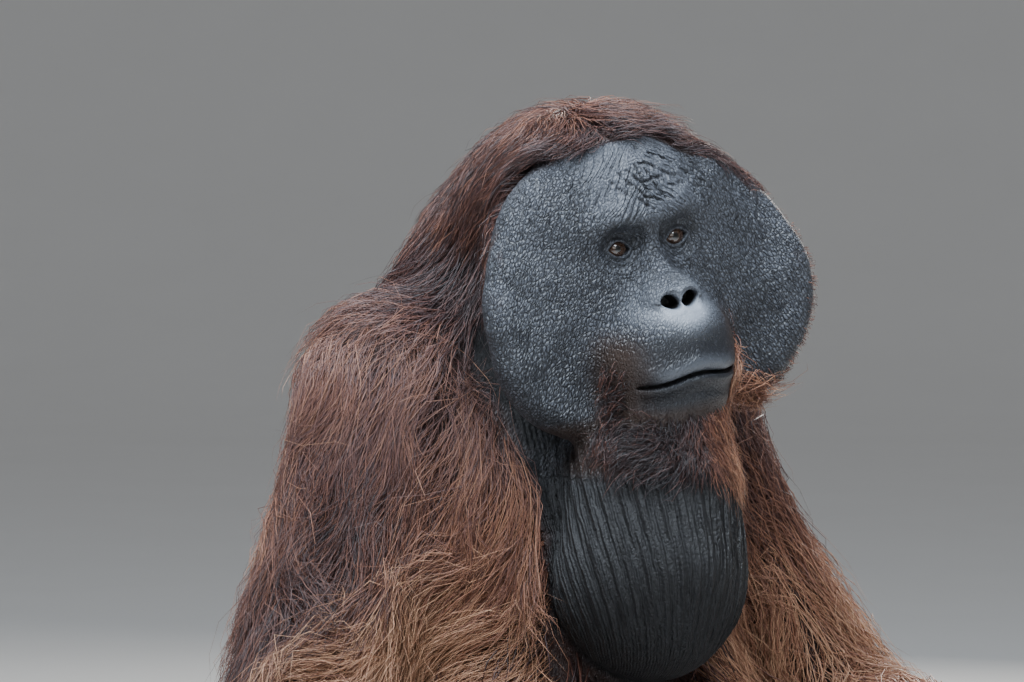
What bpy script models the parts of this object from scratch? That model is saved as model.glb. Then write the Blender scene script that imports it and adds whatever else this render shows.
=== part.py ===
"""A life-size adult male orangutan, sitting with its forearms laid over its knees.

Metres, +Z up. The animal looks along -Y, its left side is +X, and it sits on the plane Z = 0.
The body is a set of closed forms, one for each named part, and the long coat is built as flat, tapered
locks that are rooted in those forms.
"""

import math
import random

import bmesh
import bpy
import numpy as np
from mathutils import Matrix, Vector
from mathutils.bvhtree import BVHTree

# Driving dimensions
GAP = 0.0004
SEED = 11
CORE = 0.012

# Head: its frame has its origin between the eyes, -Y out of the face and +Z up the forehead
EYES_AT = Vector((0.0, -0.114, 0.795))
HEAD_YAW = math.radians(-3)
HEAD_ROLL = math.radians(-10)
HEAD = (
    Matrix.Translation(EYES_AT)
    @ Matrix.Rotation(HEAD_YAW, 4, "Z")
    @ Matrix.Rotation(HEAD_ROLL, 4, "Y")
)
EYE_RADIUS = 0.0115
EYE_X = 0.027
EYE_Y = 0.0095
MOUTH_HALF_WIDTH = 0.046
MOUTH_Z = -0.112
MOUTH_DROP = 0.006

# Joint centres of the left side; the right side mirrors them in X
SHOULDER = Vector((0.145, 0.062, 0.660))
ELBOW = Vector((0.292, -0.012, 0.345))
WRIST = Vector((0.178, -0.345, 0.392))
HIP = Vector((0.100, 0.055, 0.130))
KNEE = Vector((0.245, -0.165, 0.258))
ANKLE = Vector((0.160, -0.350, 0.075))

SIDES = {"left": 1, "right": -1}

COLOURS = {
    "face_skin": (0.055, 0.058, 0.068),
    "sac_skin": (0.022, 0.021, 0.024),
    "hand_skin": (0.035, 0.030, 0.030),
    "coat": (0.230, 0.075, 0.032),
    "coat_dark": (0.120, 0.040, 0.024),
    "eye": (0.090, 0.035, 0.015),
}


def clear_scene():
    for obj in list(bpy.data.objects):
        bpy.data.objects.remove(obj)


def material(name, roughness=0.6):
    found = bpy.data.materials.get(name)
    if found:
        return found
    made = bpy.data.materials.new(name)
    made.use_nodes = True
    shader = made.node_tree.nodes["Principled BSDF"]
    shader.inputs["Base Color"].default_value = (*COLOURS[name], 1)
    shader.inputs["Roughness"].default_value = roughness
    shader.inputs["Metallic"].default_value = 0.0
    return made


def object_of(name, bm):
    mesh = bpy.data.meshes.new(name)
    bm.to_mesh(mesh)
    bm.free()
    obj = bpy.data.objects.new(name, mesh)
    bpy.context.scene.collection.objects.link(obj)
    return obj


def bake(obj):
    """Puts the object's evaluated mesh in place of its modifiers."""
    graph = bpy.context.evaluated_depsgraph_get()
    mesh = bpy.data.meshes.new_from_object(obj.evaluated_get(graph))
    obj.modifiers.clear()
    obj.data = mesh
    return obj


def remove(objects):
    for obj in objects:
        bpy.data.objects.remove(obj)


def side_point(point, side):
    return Vector((point.x * side, point.y, point.z))


# Closed forms

def ball(centre, half, turn=(0, 0, 0), frame=None, segments=24, rings=14):
    """An ellipsoid with these half sizes, turned by degrees about X, Y and Z."""
    bm = bmesh.new()
    bmesh.ops.create_uvsphere(bm, u_segments=segments, v_segments=rings, radius=1)
    rotation = Matrix.Rotation(math.radians(turn[2]), 4, "Z")
    rotation @= Matrix.Rotation(math.radians(turn[1]), 4, "Y")
    rotation @= Matrix.Rotation(math.radians(turn[0]), 4, "X")
    place = Matrix.Translation(centre) @ rotation @ Matrix.Diagonal((*half, 1))
    bm.transform((frame or Matrix()) @ place)
    return object_of("ball", bm)


def smooth_path(points, radii, steps):
    """A Catmull-Rom curve through the points, with its radius eased along it."""
    knots = np.array([[*p, r] for p, r in zip(points, radii)])
    knots = np.vstack([2 * knots[0] - knots[1], knots, 2 * knots[-1] - knots[-2]])
    path = []
    for i in range(1, len(knots) - 2):
        a, b, c, d = knots[i - 1 : i + 3]
        for t in np.arange(steps) / steps:
            path.append(
                0.5 * (2 * b + (c - a) * t + (2 * a - 5 * b + 4 * c - d) * t**2
                       + (3 * b - a - 3 * c + d) * t**3)
            )
    path.append(knots[-2])
    return np.array(path)


def tube(points, radii, steps=3, sides=2, frame=None, rounded=True):
    """A tapered tube through the points, with rounded ends and 4 * (sides + 1) faces round it."""
    path = smooth_path(points, radii, steps)
    if rounded:
        path = round_ends(path)
    curve = bpy.data.curves.new("tube", "CURVE")
    curve.dimensions = "3D"
    curve.bevel_depth = 1
    curve.bevel_resolution = sides
    curve.use_fill_caps = True
    spline = curve.splines.new("POLY")
    spline.points.add(len(path) - 1)
    for point, (x, y, z, r) in zip(spline.points, path):
        point.co = (x, y, z, 1)
        point.radius = r
    obj = bpy.data.objects.new("tube", curve)
    bpy.context.scene.collection.objects.link(obj)
    graph = bpy.context.evaluated_depsgraph_get()
    mesh = bpy.data.meshes.new_from_object(obj.evaluated_get(graph))
    remove([obj])
    bm = bmesh.new()
    bm.from_mesh(mesh)
    bmesh.ops.remove_doubles(bm, verts=bm.verts, dist=1e-5)
    bmesh.ops.recalc_face_normals(bm, faces=bm.faces)
    if frame:
        bm.transform(frame)
    return object_of("tube", bm)


def round_ends(path):
    """The path with two small rings past each end, so that the tube closes in a dome."""
    first, last = path[0], path[-1]
    start = (first - path[1])[:3]
    end = (last - path[-2])[:3]
    start /= np.linalg.norm(start)
    end /= np.linalg.norm(end)
    head = [[*(first[:3] + start * first[3] * s), first[3] * r] for s, r in ((0.92, 0.38), (0.55, 0.8))]
    tail = [[*(last[:3] + end * last[3] * s), last[3] * r] for s, r in ((0.55, 0.8), (0.92, 0.38))]
    return np.vstack([head, path, tail])


def joined(pieces, name="joined"):
    bm = bmesh.new()
    for piece in pieces:
        bm.from_mesh(piece.data)
    remove(pieces)
    return object_of(name, bm)


def blend(pieces, voxel, smooth, triangles):
    """One soft form from overlapping pieces: fused, smoothed and thinned to about that many triangles."""
    obj = joined(pieces)
    fuse = obj.modifiers.new("fuse", "REMESH")
    fuse.mode = "VOXEL"
    fuse.voxel_size = voxel
    soften = obj.modifiers.new("soften", "SMOOTH")
    soften.factor = 0.5
    soften.iterations = smooth
    bake(obj)
    return thin(obj, triangles)


def thin(obj, triangles):
    obj.data.calc_loop_triangles()
    now = len(obj.data.loop_triangles)
    if now > triangles:
        modifier = obj.modifiers.new("thin", "DECIMATE")
        modifier.ratio = triangles / now
        modifier.use_collapse_triangulate = True
        bake(obj)
    return obj


def copy_of(obj):
    copy = bpy.data.objects.new(obj.name + "_copy", obj.data.copy())
    bpy.context.scene.collection.objects.link(copy)
    return copy


def grown(obj, by=GAP):
    """A copy of a smooth form, pushed out along its normals: the cutter that leaves the gap."""
    copy = copy_of(obj)
    for vertex in copy.data.vertices:
        vertex.co += vertex.normal * by
    return copy


def boolean(obj, operation, others, solver="MANIFOLD"):
    if not others:
        return obj
    group = bpy.data.collections.new("operands")
    for other in others:
        group.objects.link(other)
    modifier = obj.modifiers.new(operation, "BOOLEAN")
    modifier.operation = operation
    modifier.operand_type = "COLLECTION"
    modifier.collection = group
    modifier.solver = solver
    bake(obj)
    remove(others)
    bpy.data.collections.remove(group)
    return obj


def box(low, high):
    bm = bmesh.new()
    bmesh.ops.create_cube(bm, size=1)
    low, high = Vector(low), Vector(high)
    bm.transform(Matrix.Translation((low + high) / 2) @ Matrix.Diagonal((*(high - low), 1)))
    return object_of("box", bm)


def cut_floor(obj):
    """Cuts a small flat at Z = 0 where the form rests on the floor."""
    return boolean(obj, "DIFFERENCE", [box((-1, -1, -1), (1, 1, 0))])


def islands(bm):
    """The closed surfaces of a mesh, as lists of faces."""
    left = set(bm.faces)
    while left:
        stack = [left.pop()]
        island = []
        while stack:
            face = stack.pop()
            island.append(face)
            for edge in face.edges:
                for other in edge.link_faces if len(edge.link_faces) == 2 else ():
                    if other in left:
                        left.remove(other)
                        stack.append(other)
        yield island


def keep_largest(obj):
    """Drops the loose scraps that a cut leaves, and sealed hollows."""
    bm = bmesh.new()
    bm.from_mesh(obj.data)
    bmesh.ops.triangulate(bm, faces=bm.faces)
    bmesh.ops.remove_doubles(bm, verts=bm.verts, dist=1.5e-6)
    bmesh.ops.dissolve_degenerate(bm, edges=bm.edges, dist=2e-6)
    found = sorted(islands(bm), key=lambda island: sum(face.calc_area() for face in island))
    scraps = [face for island in found[:-1] for face in island]
    bmesh.ops.delete(bm, geom=scraps, context="FACES")
    bm.to_mesh(obj.data)
    bm.free()
    return obj


# Head

def mouth_line(face, lift=0.0, width=1.0, points=9):
    """Points across the muzzle on its surface, lower at the corners of the mouth."""
    found = []
    for x in np.linspace(-MOUTH_HALF_WIDTH * width, MOUTH_HALF_WIDTH * width, points):
        z = MOUTH_Z + lift - MOUTH_DROP * (x / MOUTH_HALF_WIDTH) ** 2
        found.append(surface_point(face, x, z))
    return found


def surface_point(face, x, z):
    """The point of the head's front surface at this place of the head's frame."""
    start = HEAD @ Vector((x, -0.25, z))
    ray = HEAD.to_3x3() @ Vector((0, 1, 0))
    return face.ray_cast(start, ray)[0]


def tree_of(objects):
    """A search tree over the surfaces of these objects."""
    vertices, faces = [], []
    for obj in objects:
        first = len(vertices)
        vertices += [obj.matrix_world @ v.co for v in obj.data.vertices]
        faces += [[first + i for i in polygon.vertices] for polygon in obj.data.polygons]
    return BVHTree.FromPolygons(vertices, faces)


def head_pieces():
    """Braincase, brow, cheeks, nose bridge, muzzle and jaw."""
    pieces = [
        ball((0, 0.080, 0.028), (0.076, 0.095, 0.078), frame=HEAD),
        ball((0, 0.034, 0.038), (0.082, 0.038, 0.050), frame=HEAD),
        ball((0, 0.024, -0.010), (0.092, 0.024, 0.070), frame=HEAD),
        ball((0, 0.020, -0.040), (0.072, 0.026, 0.056), frame=HEAD),
        ball((0, 0.004, -0.093), (0.063, 0.062, 0.058), frame=HEAD),
        ball((0, 0.006, -0.126), (0.050, 0.054, 0.044), frame=HEAD),
        ball((0, -0.008, -0.052), (0.033, 0.034, 0.024), frame=HEAD),
        ball((0, 0.055, -0.060), (0.062, 0.060, 0.060), frame=HEAD),
        ball((0, 0.138, 0.024), (0.075, 0.082, 0.062), frame=HEAD),
        tube([(0, 0.004, 0.012), (0, -0.006, -0.018), (0, -0.020, -0.040)], [0.009, 0.010, 0.018],
             frame=HEAD),
    ]
    for side in SIDES.values():
        brow = [(0.006, -0.004, 0.020), (0.026, -0.006, 0.026), (0.050, 0.006, 0.016), (0.060, 0.018, 0.000)]
        pieces.append(tube([(x * side, y, z) for x, y, z in brow], [0.009, 0.010, 0.009, 0.008], frame=HEAD))
        pieces.append(ball((EYE_X * side, EYE_Y, 0), (0.0165, 0.0145, 0.0150), frame=HEAD))
        pieces.append(ball((0.013 * side, -0.030, -0.048), (0.015, 0.013, 0.014), frame=HEAD))
    return pieces


def make_head():
    rough = blend(head_pieces(), 0.004, 5, 9000)
    face = tree_of([rough])
    upper_lip = mouth_line(face, 0.007, 0.92)
    lower_lip = mouth_line(face, -0.007, 0.88)
    inward = HEAD.to_3x3() @ Vector((0, 0.0035, 0))
    lips = [
        tube([p + inward for p in upper_lip], [0.0055] * len(upper_lip), 1),
        tube([p + inward for p in lower_lip], [0.0050] * len(lower_lip), 1),
    ]
    for side in SIDES.values():
        lips.append(lid_ring(side, 0.0125, 0.0090, 0.0022))
    head = blend([rough] + lips, 0.0028, 2, 1600)
    head.name = "head"
    cutters = [mouth_cutter(head)]
    for side in SIDES.values():
        cutters.append(nostril_cutter(side))
        cutters.append(ball((EYE_X * side, EYE_Y, 0), (EYE_RADIUS + GAP,) * 3, frame=HEAD, segments=12, rings=6))
        cutters.append(ball((EYE_X * side, EYE_Y - 0.012, 0), (0.0090, 0.012, 0.0054), frame=HEAD,
                            segments=10, rings=6))
    boolean(head, "DIFFERENCE", cutters)
    return keep_largest(head)


def lid_ring(side, half_width, half_height, thick):
    """The rolled skin of both lids, a ring round the opening of the eye."""
    points = []
    for angle in np.linspace(0, 2 * math.pi, 12, endpoint=False):
        x = EYE_X * side + half_width * math.cos(angle)
        z = half_height * math.sin(angle)
        depth = math.sqrt(max(0.0, 0.0140**2 - (x - EYE_X * side) ** 2 * 0.6 - z**2 * 0.6))
        points.append((x, EYE_Y - depth, z))
    points.append(points[0])
    return tube(points, [thick] * len(points), 1, frame=HEAD, rounded=False)


def mouth_cutter(head):
    line = mouth_line(tree_of([head]), 0.0, 1.0, 11)
    outward = HEAD.to_3x3() @ Vector((0, -0.0010, 0))
    radii = [0.0012] + [0.0022] * (len(line) - 2) + [0.0012]
    return tube([p + outward for p in line], radii, 1, sides=0)


def nostril_cutter(side):
    """A slanting nostril that opens forward, its outer end higher."""
    return ball((0.0110 * side, -0.043, -0.0505), (0.0085, 0.020, 0.0058), (0, -25 * side, 0), HEAD, 10, 6)


def make_eye(side):
    return ball((EYE_X * side, EYE_Y, 0), (EYE_RADIUS,) * 3, frame=HEAD, segments=12, rings=6)


def make_cheek_pad(side):
    """A broad pad of fat beside the face, cupped a little towards its thick rim."""
    pad = ball((0, 0, 0), (0.080, 0.101, 0.022), (90, 0, 0), segments=24, rings=8)
    for vertex in pad.data.vertices:
        x, y, z = vertex.co
        flat = max(0.0, 1 - (x / 0.080) ** 2 - (z / 0.101) ** 2)
        thick = 0.021 * flat**0.36
        cup = 0.010 * (x / 0.080) ** 2 if x > 0 else 0.0
        lean = 0.020 * max(z, 0) / 0.1
        narrow = 1 - 2.0 * max(z, 0) if x > 0 else 1
        vertex.co = ((0.079 + x * narrow) * side, 0.020 + math.copysign(thick, y) - cup + lean, -0.047 + z)
    if side < 0:
        pad.data.flip_normals()
    pad.data.transform(HEAD)
    return pad


def make_ear(side):
    """A small round ear with a hollow cup, close to the head behind the cheek pad."""
    ear = ball((0.070 * side, 0.066, -0.006), (0.010, 0.015, 0.021), (0, 0, 25 * side), HEAD, 12, 6)
    cup = ball((0.082 * side, 0.064, -0.006), (0.0085, 0.009, 0.013), (0, 0, 25 * side), HEAD, 8, 5)
    return boolean(ear, "DIFFERENCE", [cup])


# Trunk

def make_throat_sac():
    """The bare sac that hangs from the chin to the chest, wider towards its bottom."""
    pieces = [
        ball((0, -0.122, 0.516), (0.088, 0.060, 0.080)),
        ball((0.012, -0.105, 0.590), (0.074, 0.056, 0.076)),
        tube([(0.018, -0.100, 0.640), (0.014, -0.135, 0.595), (0.004, -0.155, 0.530), (0, -0.140, 0.480)],
             [0.036, 0.036, 0.036, 0.036]),
    ]
    return blend(pieces, 0.008, 6, 300)


def make_neck():
    pieces = [
        ball((0, 0.036, 0.676), (0.102, 0.088, 0.105)),
        ball((0, 0.074, 0.750), (0.100, 0.100, 0.104)),
    ]
    return blend(pieces, 0.010, 6, 180)


def make_torso():
    """Chest, back hump, belly, hips and seat, cut flat where it sits."""
    pieces = [
        ball((0, 0.055, 0.550), (0.178, 0.150, 0.170)),
        ball((0, 0.105, 0.640), (0.150, 0.110, 0.110)),
        ball((0, -0.005, 0.300), (0.180, 0.165, 0.170)),
        ball((0, 0.060, 0.400), (0.168, 0.150, 0.200)),
        ball((0, 0.075, 0.150), (0.165, 0.140, 0.140)),
        ball((0, 0.020, 0.078), (0.120, 0.105, 0.090)),
    ]
    for side in SIDES.values():
        pieces.append(ball((0.072 * side, 0.085, 0.085), (0.090, 0.105, 0.093)))
        pieces.append(ball((0.122 * side, 0.072, 0.664), (0.082, 0.080, 0.080)))
    return cut_floor(blend(pieces, 0.012, 8, 450))


# Limbs

def limb(points, radii, side, core=CORE, steps=3):
    """A muscled length of arm or leg, as thick as its skin and the dense part of its coat."""
    return tube([side_point(p, side) for p in points], [r + core for r in radii], steps)


def make_upper_arm(side):
    middle = SHOULDER.lerp(ELBOW, 0.45) + Vector((-0.016, 0.018, 0))
    return limb([SHOULDER, middle, ELBOW], [0.066, 0.055, 0.046], side)


def make_forearm(side):
    middle = ELBOW.lerp(WRIST, 0.4) + Vector((0.004, 0, 0.004))
    return limb([ELBOW, middle, WRIST], [0.045, 0.043, 0.027], side, 0.010)


def make_thigh(side):
    middle = HIP.lerp(KNEE, 0.5) + Vector((0.004, 0, 0))
    return limb([HIP, middle, KNEE], [0.082, 0.070, 0.052], side, 0.008)


def make_shin(side):
    calf = KNEE.lerp(ANKLE, 0.4) + Vector((0.0, 0.012, -0.006))
    return limb([KNEE, calf, ANKLE], [0.044, 0.043, 0.027], side, 0.006)


def make_hand(side):
    """A long hooked hand that hangs from the wrist in front of the shin, with a short thumb."""
    knuckles = WRIST + Vector((-0.012, -0.085, -0.078))
    palm = WRIST.lerp(knuckles, 0.55)
    pieces = [
        tube([side_point(WRIST + Vector((0.004, 0.020, -0.002)), side),
              side_point(WRIST.lerp(palm, 0.4), side), side_point(palm, side)], [0.027, 0.027, 0.025]),
        ball(side_point(palm, side), (0.043, 0.062, 0.023), (42, 0, 8 * side)),
        ball(side_point(knuckles, side), (0.046, 0.026, 0.020), (42, 0, 8 * side)),
    ]
    spread = [-0.034, -0.012, 0.011, 0.033]
    reach = [0.92, 1.0, 1.0, 0.88]
    for x, long in zip(spread, reach):
        root = knuckles + Vector((x, 0.002, 0.0))
        bend = [(0, 0, 0), (-0.002, -0.026, -0.036), (-0.003, -0.022, -0.082), (-0.004, 0.006, -0.118)]
        finger = [side_point(root + Vector(step) * long, side) for step in bend]
        pieces.append(tube(finger, [0.0145, 0.0125, 0.0115, 0.0085], 2))
    thumb = [palm + Vector(step) for step in ((-0.036, 0.0, 0.004), (-0.054, -0.006, -0.014), (-0.058, -0.012, -0.034))]
    pieces.append(tube([side_point(p, side) for p in thumb], [0.013, 0.0105, 0.0075], 2))
    return blend(pieces, 0.0045, 5, 380)


def make_foot(side):
    """A long grasping foot, heel down, with curled toes and a short big toe set apart."""
    heel = Vector((0.166, -0.322, 0.030))
    instep = Vector((0.152, -0.395, 0.040))
    ball_of_foot = Vector((0.136, -0.455, 0.030))
    pieces = [
        ball(side_point(heel, side), (0.032, 0.036, 0.033)),
        tube([side_point(p, side) for p in (ANKLE, instep, ball_of_foot)], [0.028, 0.030, 0.026]),
        ball(side_point(ball_of_foot, side), (0.044, 0.032, 0.024), (0, 0, 14 * side)),
        ball(side_point(heel.lerp(ball_of_foot, 0.5), side), (0.033, 0.070, 0.026), (0, 0, 14 * side)),
    ]
    spread = [-0.030, -0.010, 0.011, 0.031]
    reach = [0.95, 1.0, 0.95, 0.84]
    for x, long in zip(spread, reach):
        root = ball_of_foot + Vector((x, -0.008 + abs(x) * 0.2, 0.004))
        bend = [(0, 0, 0), (-0.008, -0.040, 0.014), (-0.014, -0.078, 0.004), (-0.015, -0.086, -0.020)]
        toe = [side_point(root + Vector(step) * long, side) for step in bend]
        pieces.append(tube(toe, [0.0140, 0.0125, 0.0115, 0.0090], 2))
    big_toe = [instep + Vector(step) for step in ((-0.022, -0.008, -0.016), (-0.048, -0.026, -0.020), (-0.062, -0.050, -0.024))]
    pieces.append(tube([side_point(p, side) for p in big_toe], [0.015, 0.0125, 0.0095], 2))
    return cut_floor(blend(pieces, 0.0045, 5, 400))


# Coat

WIDTHS = (0.70, 1.0, 0.92, 0.62)
THICKS = (0.9, 1.0, 0.85, 0.6)
RAISES = (0.0, 0.004, 0.008, 0.012, 0.017)


def clearance(point, trees):
    """How far the point is outside the nearest or deepest of the forms, and that form's normal there."""
    least, normal = 1.0, Vector((0, 0, 1))
    for tree in trees:
        near, facing, _, distance = tree.find_nearest(point, 0.25)
        if near is None:
            continue
        signed = distance if (point - near).dot(facing) > 0 else -distance
        if signed < least:
            least, normal = signed, facing
    return least, normal


def lay(trees, root, normal, plan, length, stand):
    """Where a lock runs: out of its root, then along its lie over whatever lies under it."""
    points = [root - normal * 0.008]
    normals = [normal]
    here = root
    step = length / plan["steps"]
    for i in range(plan["steps"]):
        along = plan["lie"](here, normal)
        along = (along - normal * along.dot(normal)).normalized()
        along = (along + Vector((0, 0, -plan["droop"]))).normalized()
        here = here + along * step
        wanted = stand * (0.35 + 0.65 * (i + 1) / plan["steps"])
        for _ in range(3):
            height, facing = clearance(here, trees)
            if height < wanted:
                here = here + facing * (wanted - height)
        if wanted < height < 0.12:
            here = here - facing * (height - wanted) * plan["cling"]
        if height < 0.12:
            normal = facing
        here.z = max(here.z, 0.012)
        points.append(here.copy())
        normals.append(normal.copy())
    return points, normals


def lock(points, normals, width, thick, extra=0.0):
    """A flat, tapered lock: flat underneath, ridged on top, closed at its root and drawn to a tip."""
    vertices = []
    count = len(points) - 1
    for i in range(count):
        along = (points[i + 1] - points[max(i - 1, 0)]).normalized()
        across = along.cross(normals[i]).normalized()
        out = across.cross(along).normalized()
        w = width * WIDTHS[min(i, 3)] / 2 + extra
        t = thick * THICKS[min(i, 3)] / 2 + extra
        vertices += [points[i] - across * w - out * t, points[i] + across * w - out * t, points[i] + out * t]
    vertices.append(points[-1] + (points[-1] - points[-2]).normalized() * extra * 3)
    faces = [(0, 2, 1)]
    for i in range(count - 1):
        for j in range(3):
            a, b = 3 * i + j, 3 * i + (j + 1) % 3
            faces += [(a, b, b + 3), (a, b + 3, a + 3)]
    last = 3 * (count - 1)
    faces += [(last + j, last + (j + 1) % 3, last + 3) for j in range(3)]
    return vertices, faces


def lock_object(vertices, faces):
    mesh = bpy.data.meshes.new("lock")
    mesh.from_pydata(vertices, [], faces)
    bm = bmesh.new()
    bm.from_mesh(mesh)
    bmesh.ops.recalc_face_normals(bm, faces=bm.faces)
    return object_of("lock", bm)


def roots_round(tree, start, end, rows, per_row, draw, keep=None, out=0.4):
    """Points on a form in staggered rows along the line from start to end, as (point, normal)."""
    axis = (end - start).normalized()
    first = axis.orthogonal().normalized()
    second = axis.cross(first)
    found = []
    for row in range(rows):
        centre = start.lerp(end, (row + 0.5) / rows)
        for i in range(per_row):
            angle = 2 * math.pi * (i + 0.5 * (row % 2) + draw.uniform(-0.15, 0.15)) / per_row
            ray = first * math.cos(angle) + second * math.sin(angle)
            shift = axis * draw.uniform(-0.15, 0.15) * (end - start).length / rows
            hit, normal, _, _ = tree.ray_cast(centre + shift + ray * out, -ray)
            if hit and (keep is None or keep(hit, normal)):
                found.append((hit, normal))
    return found


def head_point(x, y, z):
    return HEAD @ Vector((x, y, z))


def head_way(x, y, z):
    return HEAD.to_3x3() @ Vector((x, y, z))


def on_scalp(p, n):
    """True behind the hairline, on top of the head, at its sides and at its back."""
    q = HEAD.inverted() @ p
    return q.z > 0.086 - 4.0 * q.x**2 and q.y > 0.030 or q.y > 0.055 and q.z > -0.070


def scalp_lie(p, n):
    """Forward over the brow from the crown, and down and back at the sides."""
    q = HEAD.inverted() @ p
    if q.z > 0.060 and q.y < 0.125:
        return head_way(q.x * 6, -1.0, -0.1)
    return head_way(q.x * 3, 0.25, -1.0)


def on_trunk(p, n):
    front = p.y < -0.05 and p.z > 0.40 and abs(p.x) < 0.11
    return p.z > 0.06 and not front


def along_limb(start, end, **more):
    """The rows of a limb's locks, from its start to its end, with their lie pointing to the end."""
    way = (end - start).normalized()
    lean = more.pop("lean", Vector())
    return dict(line=(start, end), lie=lambda p, n: way + lean, **more)


def coat_plans():
    """What each coated part grows: its rows of roots, its lie and the size of its locks."""
    plans = {
        "head": dict(
            line=(head_point(0, 0.015, 0.025), head_point(0, 0.175, 0.025)), rows=5, per_row=12,
            keep=on_scalp, lie=scalp_lie, length=0.074, width=0.048, thick=0.007, stand=0.010,
            droop=0.0, cling=1.0, steps=3, clear=0.010),
        "neck": dict(
            line=(Vector((0, 0.05, 0.68)), Vector((0, 0.05, 0.84))), rows=2, per_row=10,
            keep=lambda p, n: p.y > 0.02, lie=lambda p, n: Vector((p.x * 3, 0.3, -1)), length=0.13,
            width=0.056, thick=0.010, stand=0.018, droop=0.1, cling=0.5, steps=3),
        "torso": dict(
            line=(Vector((0, 0.05, 0.05)), Vector((0, 0.07, 0.72))), rows=6, per_row=10,
            keep=on_trunk, lie=lambda p, n: Vector((p.x * 1.5, 0.2 if p.y > 0.05 else -0.1, -1.0)),
            length=0.180, width=0.090, thick=0.012, stand=0.022, droop=0.1, cling=0.5, steps=4),
    }
    for name, side in SIDES.items():
        shoulder, elbow, wrist = (side_point(p, side) for p in (SHOULDER, ELBOW, WRIST))
        hip, knee, ankle = (side_point(p, side) for p in (HIP, KNEE, ANKLE))
        plans["upper_arm_" + name] = along_limb(
            shoulder + Vector((0, 0, 0.05)), elbow, rows=4, per_row=7, keep=None, lean=Vector((0, 0.12, 0)),
            length=0.160, width=0.058, thick=0.011, stand=0.020, droop=0.08, cling=0.85, steps=4)
        plans["forearm_" + name] = along_limb(
            wrist, elbow, rows=4, per_row=6, keep=None, lean=Vector((0.15 * side, 0, -0.2)),
            length=0.140, width=0.046, thick=0.009, stand=0.018, droop=0.3, cling=0.3, steps=4)
        plans["thigh_" + name] = along_limb(
            hip, knee, rows=2, per_row=6, keep=lambda p, n: p.z > 0.06, lean=Vector((0, 0.2, -0.5)),
            length=0.135, width=0.074, thick=0.010, stand=0.015, droop=0.1, cling=0.5, steps=3)
        plans["shin_" + name] = along_limb(
            knee, ankle, rows=2, per_row=6, keep=lambda p, n: p.z > 0.06,
            length=0.110, width=0.042, thick=0.008, stand=0.012, droop=0.1, cling=0.5, steps=3)
    return plans


def beard_roots(tree):
    """Roots of the beard: round the chin and up the sides of the muzzle."""
    found = []
    for x, z in ((-0.050, -0.122), (-0.036, -0.142), (-0.014, -0.151), (0.014, -0.151), (0.036, -0.142),
                 (0.050, -0.122), (-0.024, -0.134), (0.024, -0.134)):
        hit, normal, _, _ = tree.ray_cast(head_point(x, -0.25, z), head_way(0, 1, 0))
        if hit:
            found.append((hit, normal))
    return found


def coat_of(name, trees, plan, taken, draw):
    """One part's locks as meshes, each one clear of every other part and of the other parts' locks."""
    own = trees[name]
    others = [tree for other, tree in trees.items() if other != name]
    near_others = [tree for other, tree in trees.items() if other != name and not other.startswith("eye")]
    roots = [(hit, normal, plan) for hit, normal in roots_round(
        own, *plan["line"], plan["rows"], plan["per_row"], draw, plan["keep"])]
    if name == "head":
        beard = dict(plan, lie=lambda p, n: head_way(0, -0.3, -1), length=0.050, width=0.026, thick=0.007,
                     stand=0.008)
        roots += [(hit, normal, beard) for hit, normal in beard_roots(own)]
    found = []
    own_taken = []
    for i, (hit, normal, sizes) in enumerate(roots):
        if clearance(hit, others)[0] < sizes.get("clear", 0.006):
            continue
        length = sizes["length"] * draw.uniform(0.88, 1.15)
        width = sizes["width"] * draw.uniform(0.9, 1.1)
        stand = sizes["stand"] * (0.75 if i % 2 else 1.25)
        crossing = None
        for again, raised in enumerate(RAISES):
            shorter = 1 - 0.06 * again
            points, normals = lay(trees.values(), hit, normal, sizes, length * shorter, stand + raised)
            around = BVHTree.FromPolygons(*lock(points, normals, width, sizes["thick"], GAP * 2))
            made = lock(points, normals, width, sizes["thick"])
            if min(v.z for v in made[0]) < 0.002 or any(around.overlap(tree) for tree in near_others + taken):
                continue
            crossing = crossing or made
            if not any(around.overlap(tree) for tree in own_taken):
                crossing = made
                break
        if crossing:
            found.append(crossing)
            own_taken.append(BVHTree.FromPolygons(*crossing))
    return found


SKINS = {
    "head": "face_skin", "cheek_pad": "face_skin", "ear": "face_skin", "eye": "eye",
    "throat_sac": "sac_skin", "neck": "coat_dark", "torso": "coat", "upper_arm": "coat",
    "forearm": "coat", "hand": "hand_skin", "thigh": "coat", "shin": "coat", "foot": "hand_skin",
}


def make_forms():
    """Every part's plain form, in the order in which the later ones make room for the earlier ones."""
    forms = {}
    for name, side in SIDES.items():
        forms["eye_" + name] = make_eye(side)
    forms["head"] = make_head()
    for name, side in SIDES.items():
        forms["cheek_pad_" + name] = make_cheek_pad(side)
        forms["ear_" + name] = make_ear(side)
    forms["throat_sac"] = make_throat_sac()
    forms["neck"] = make_neck()
    forms["torso"] = make_torso()
    for name, side in SIDES.items():
        forms["upper_arm_" + name] = make_upper_arm(side)
        forms["forearm_" + name] = make_forearm(side)
        forms["hand_" + name] = make_hand(side)
        forms["thigh_" + name] = make_thigh(side)
        forms["shin_" + name] = make_shin(side)
        forms["foot_" + name] = make_foot(side)
    return forms


def bounds(obj):
    points = np.array([v.co for v in obj.data.vertices])
    return points.min(axis=0), points.max(axis=0)


def boxes_meet(a, b, margin=0.002):
    low_a, high_a = bounds(a)
    low_b, high_b = bounds(b)
    return all(low_a[i] - margin < high_b[i] and low_b[i] - margin < high_a[i] for i in range(3))


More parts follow.
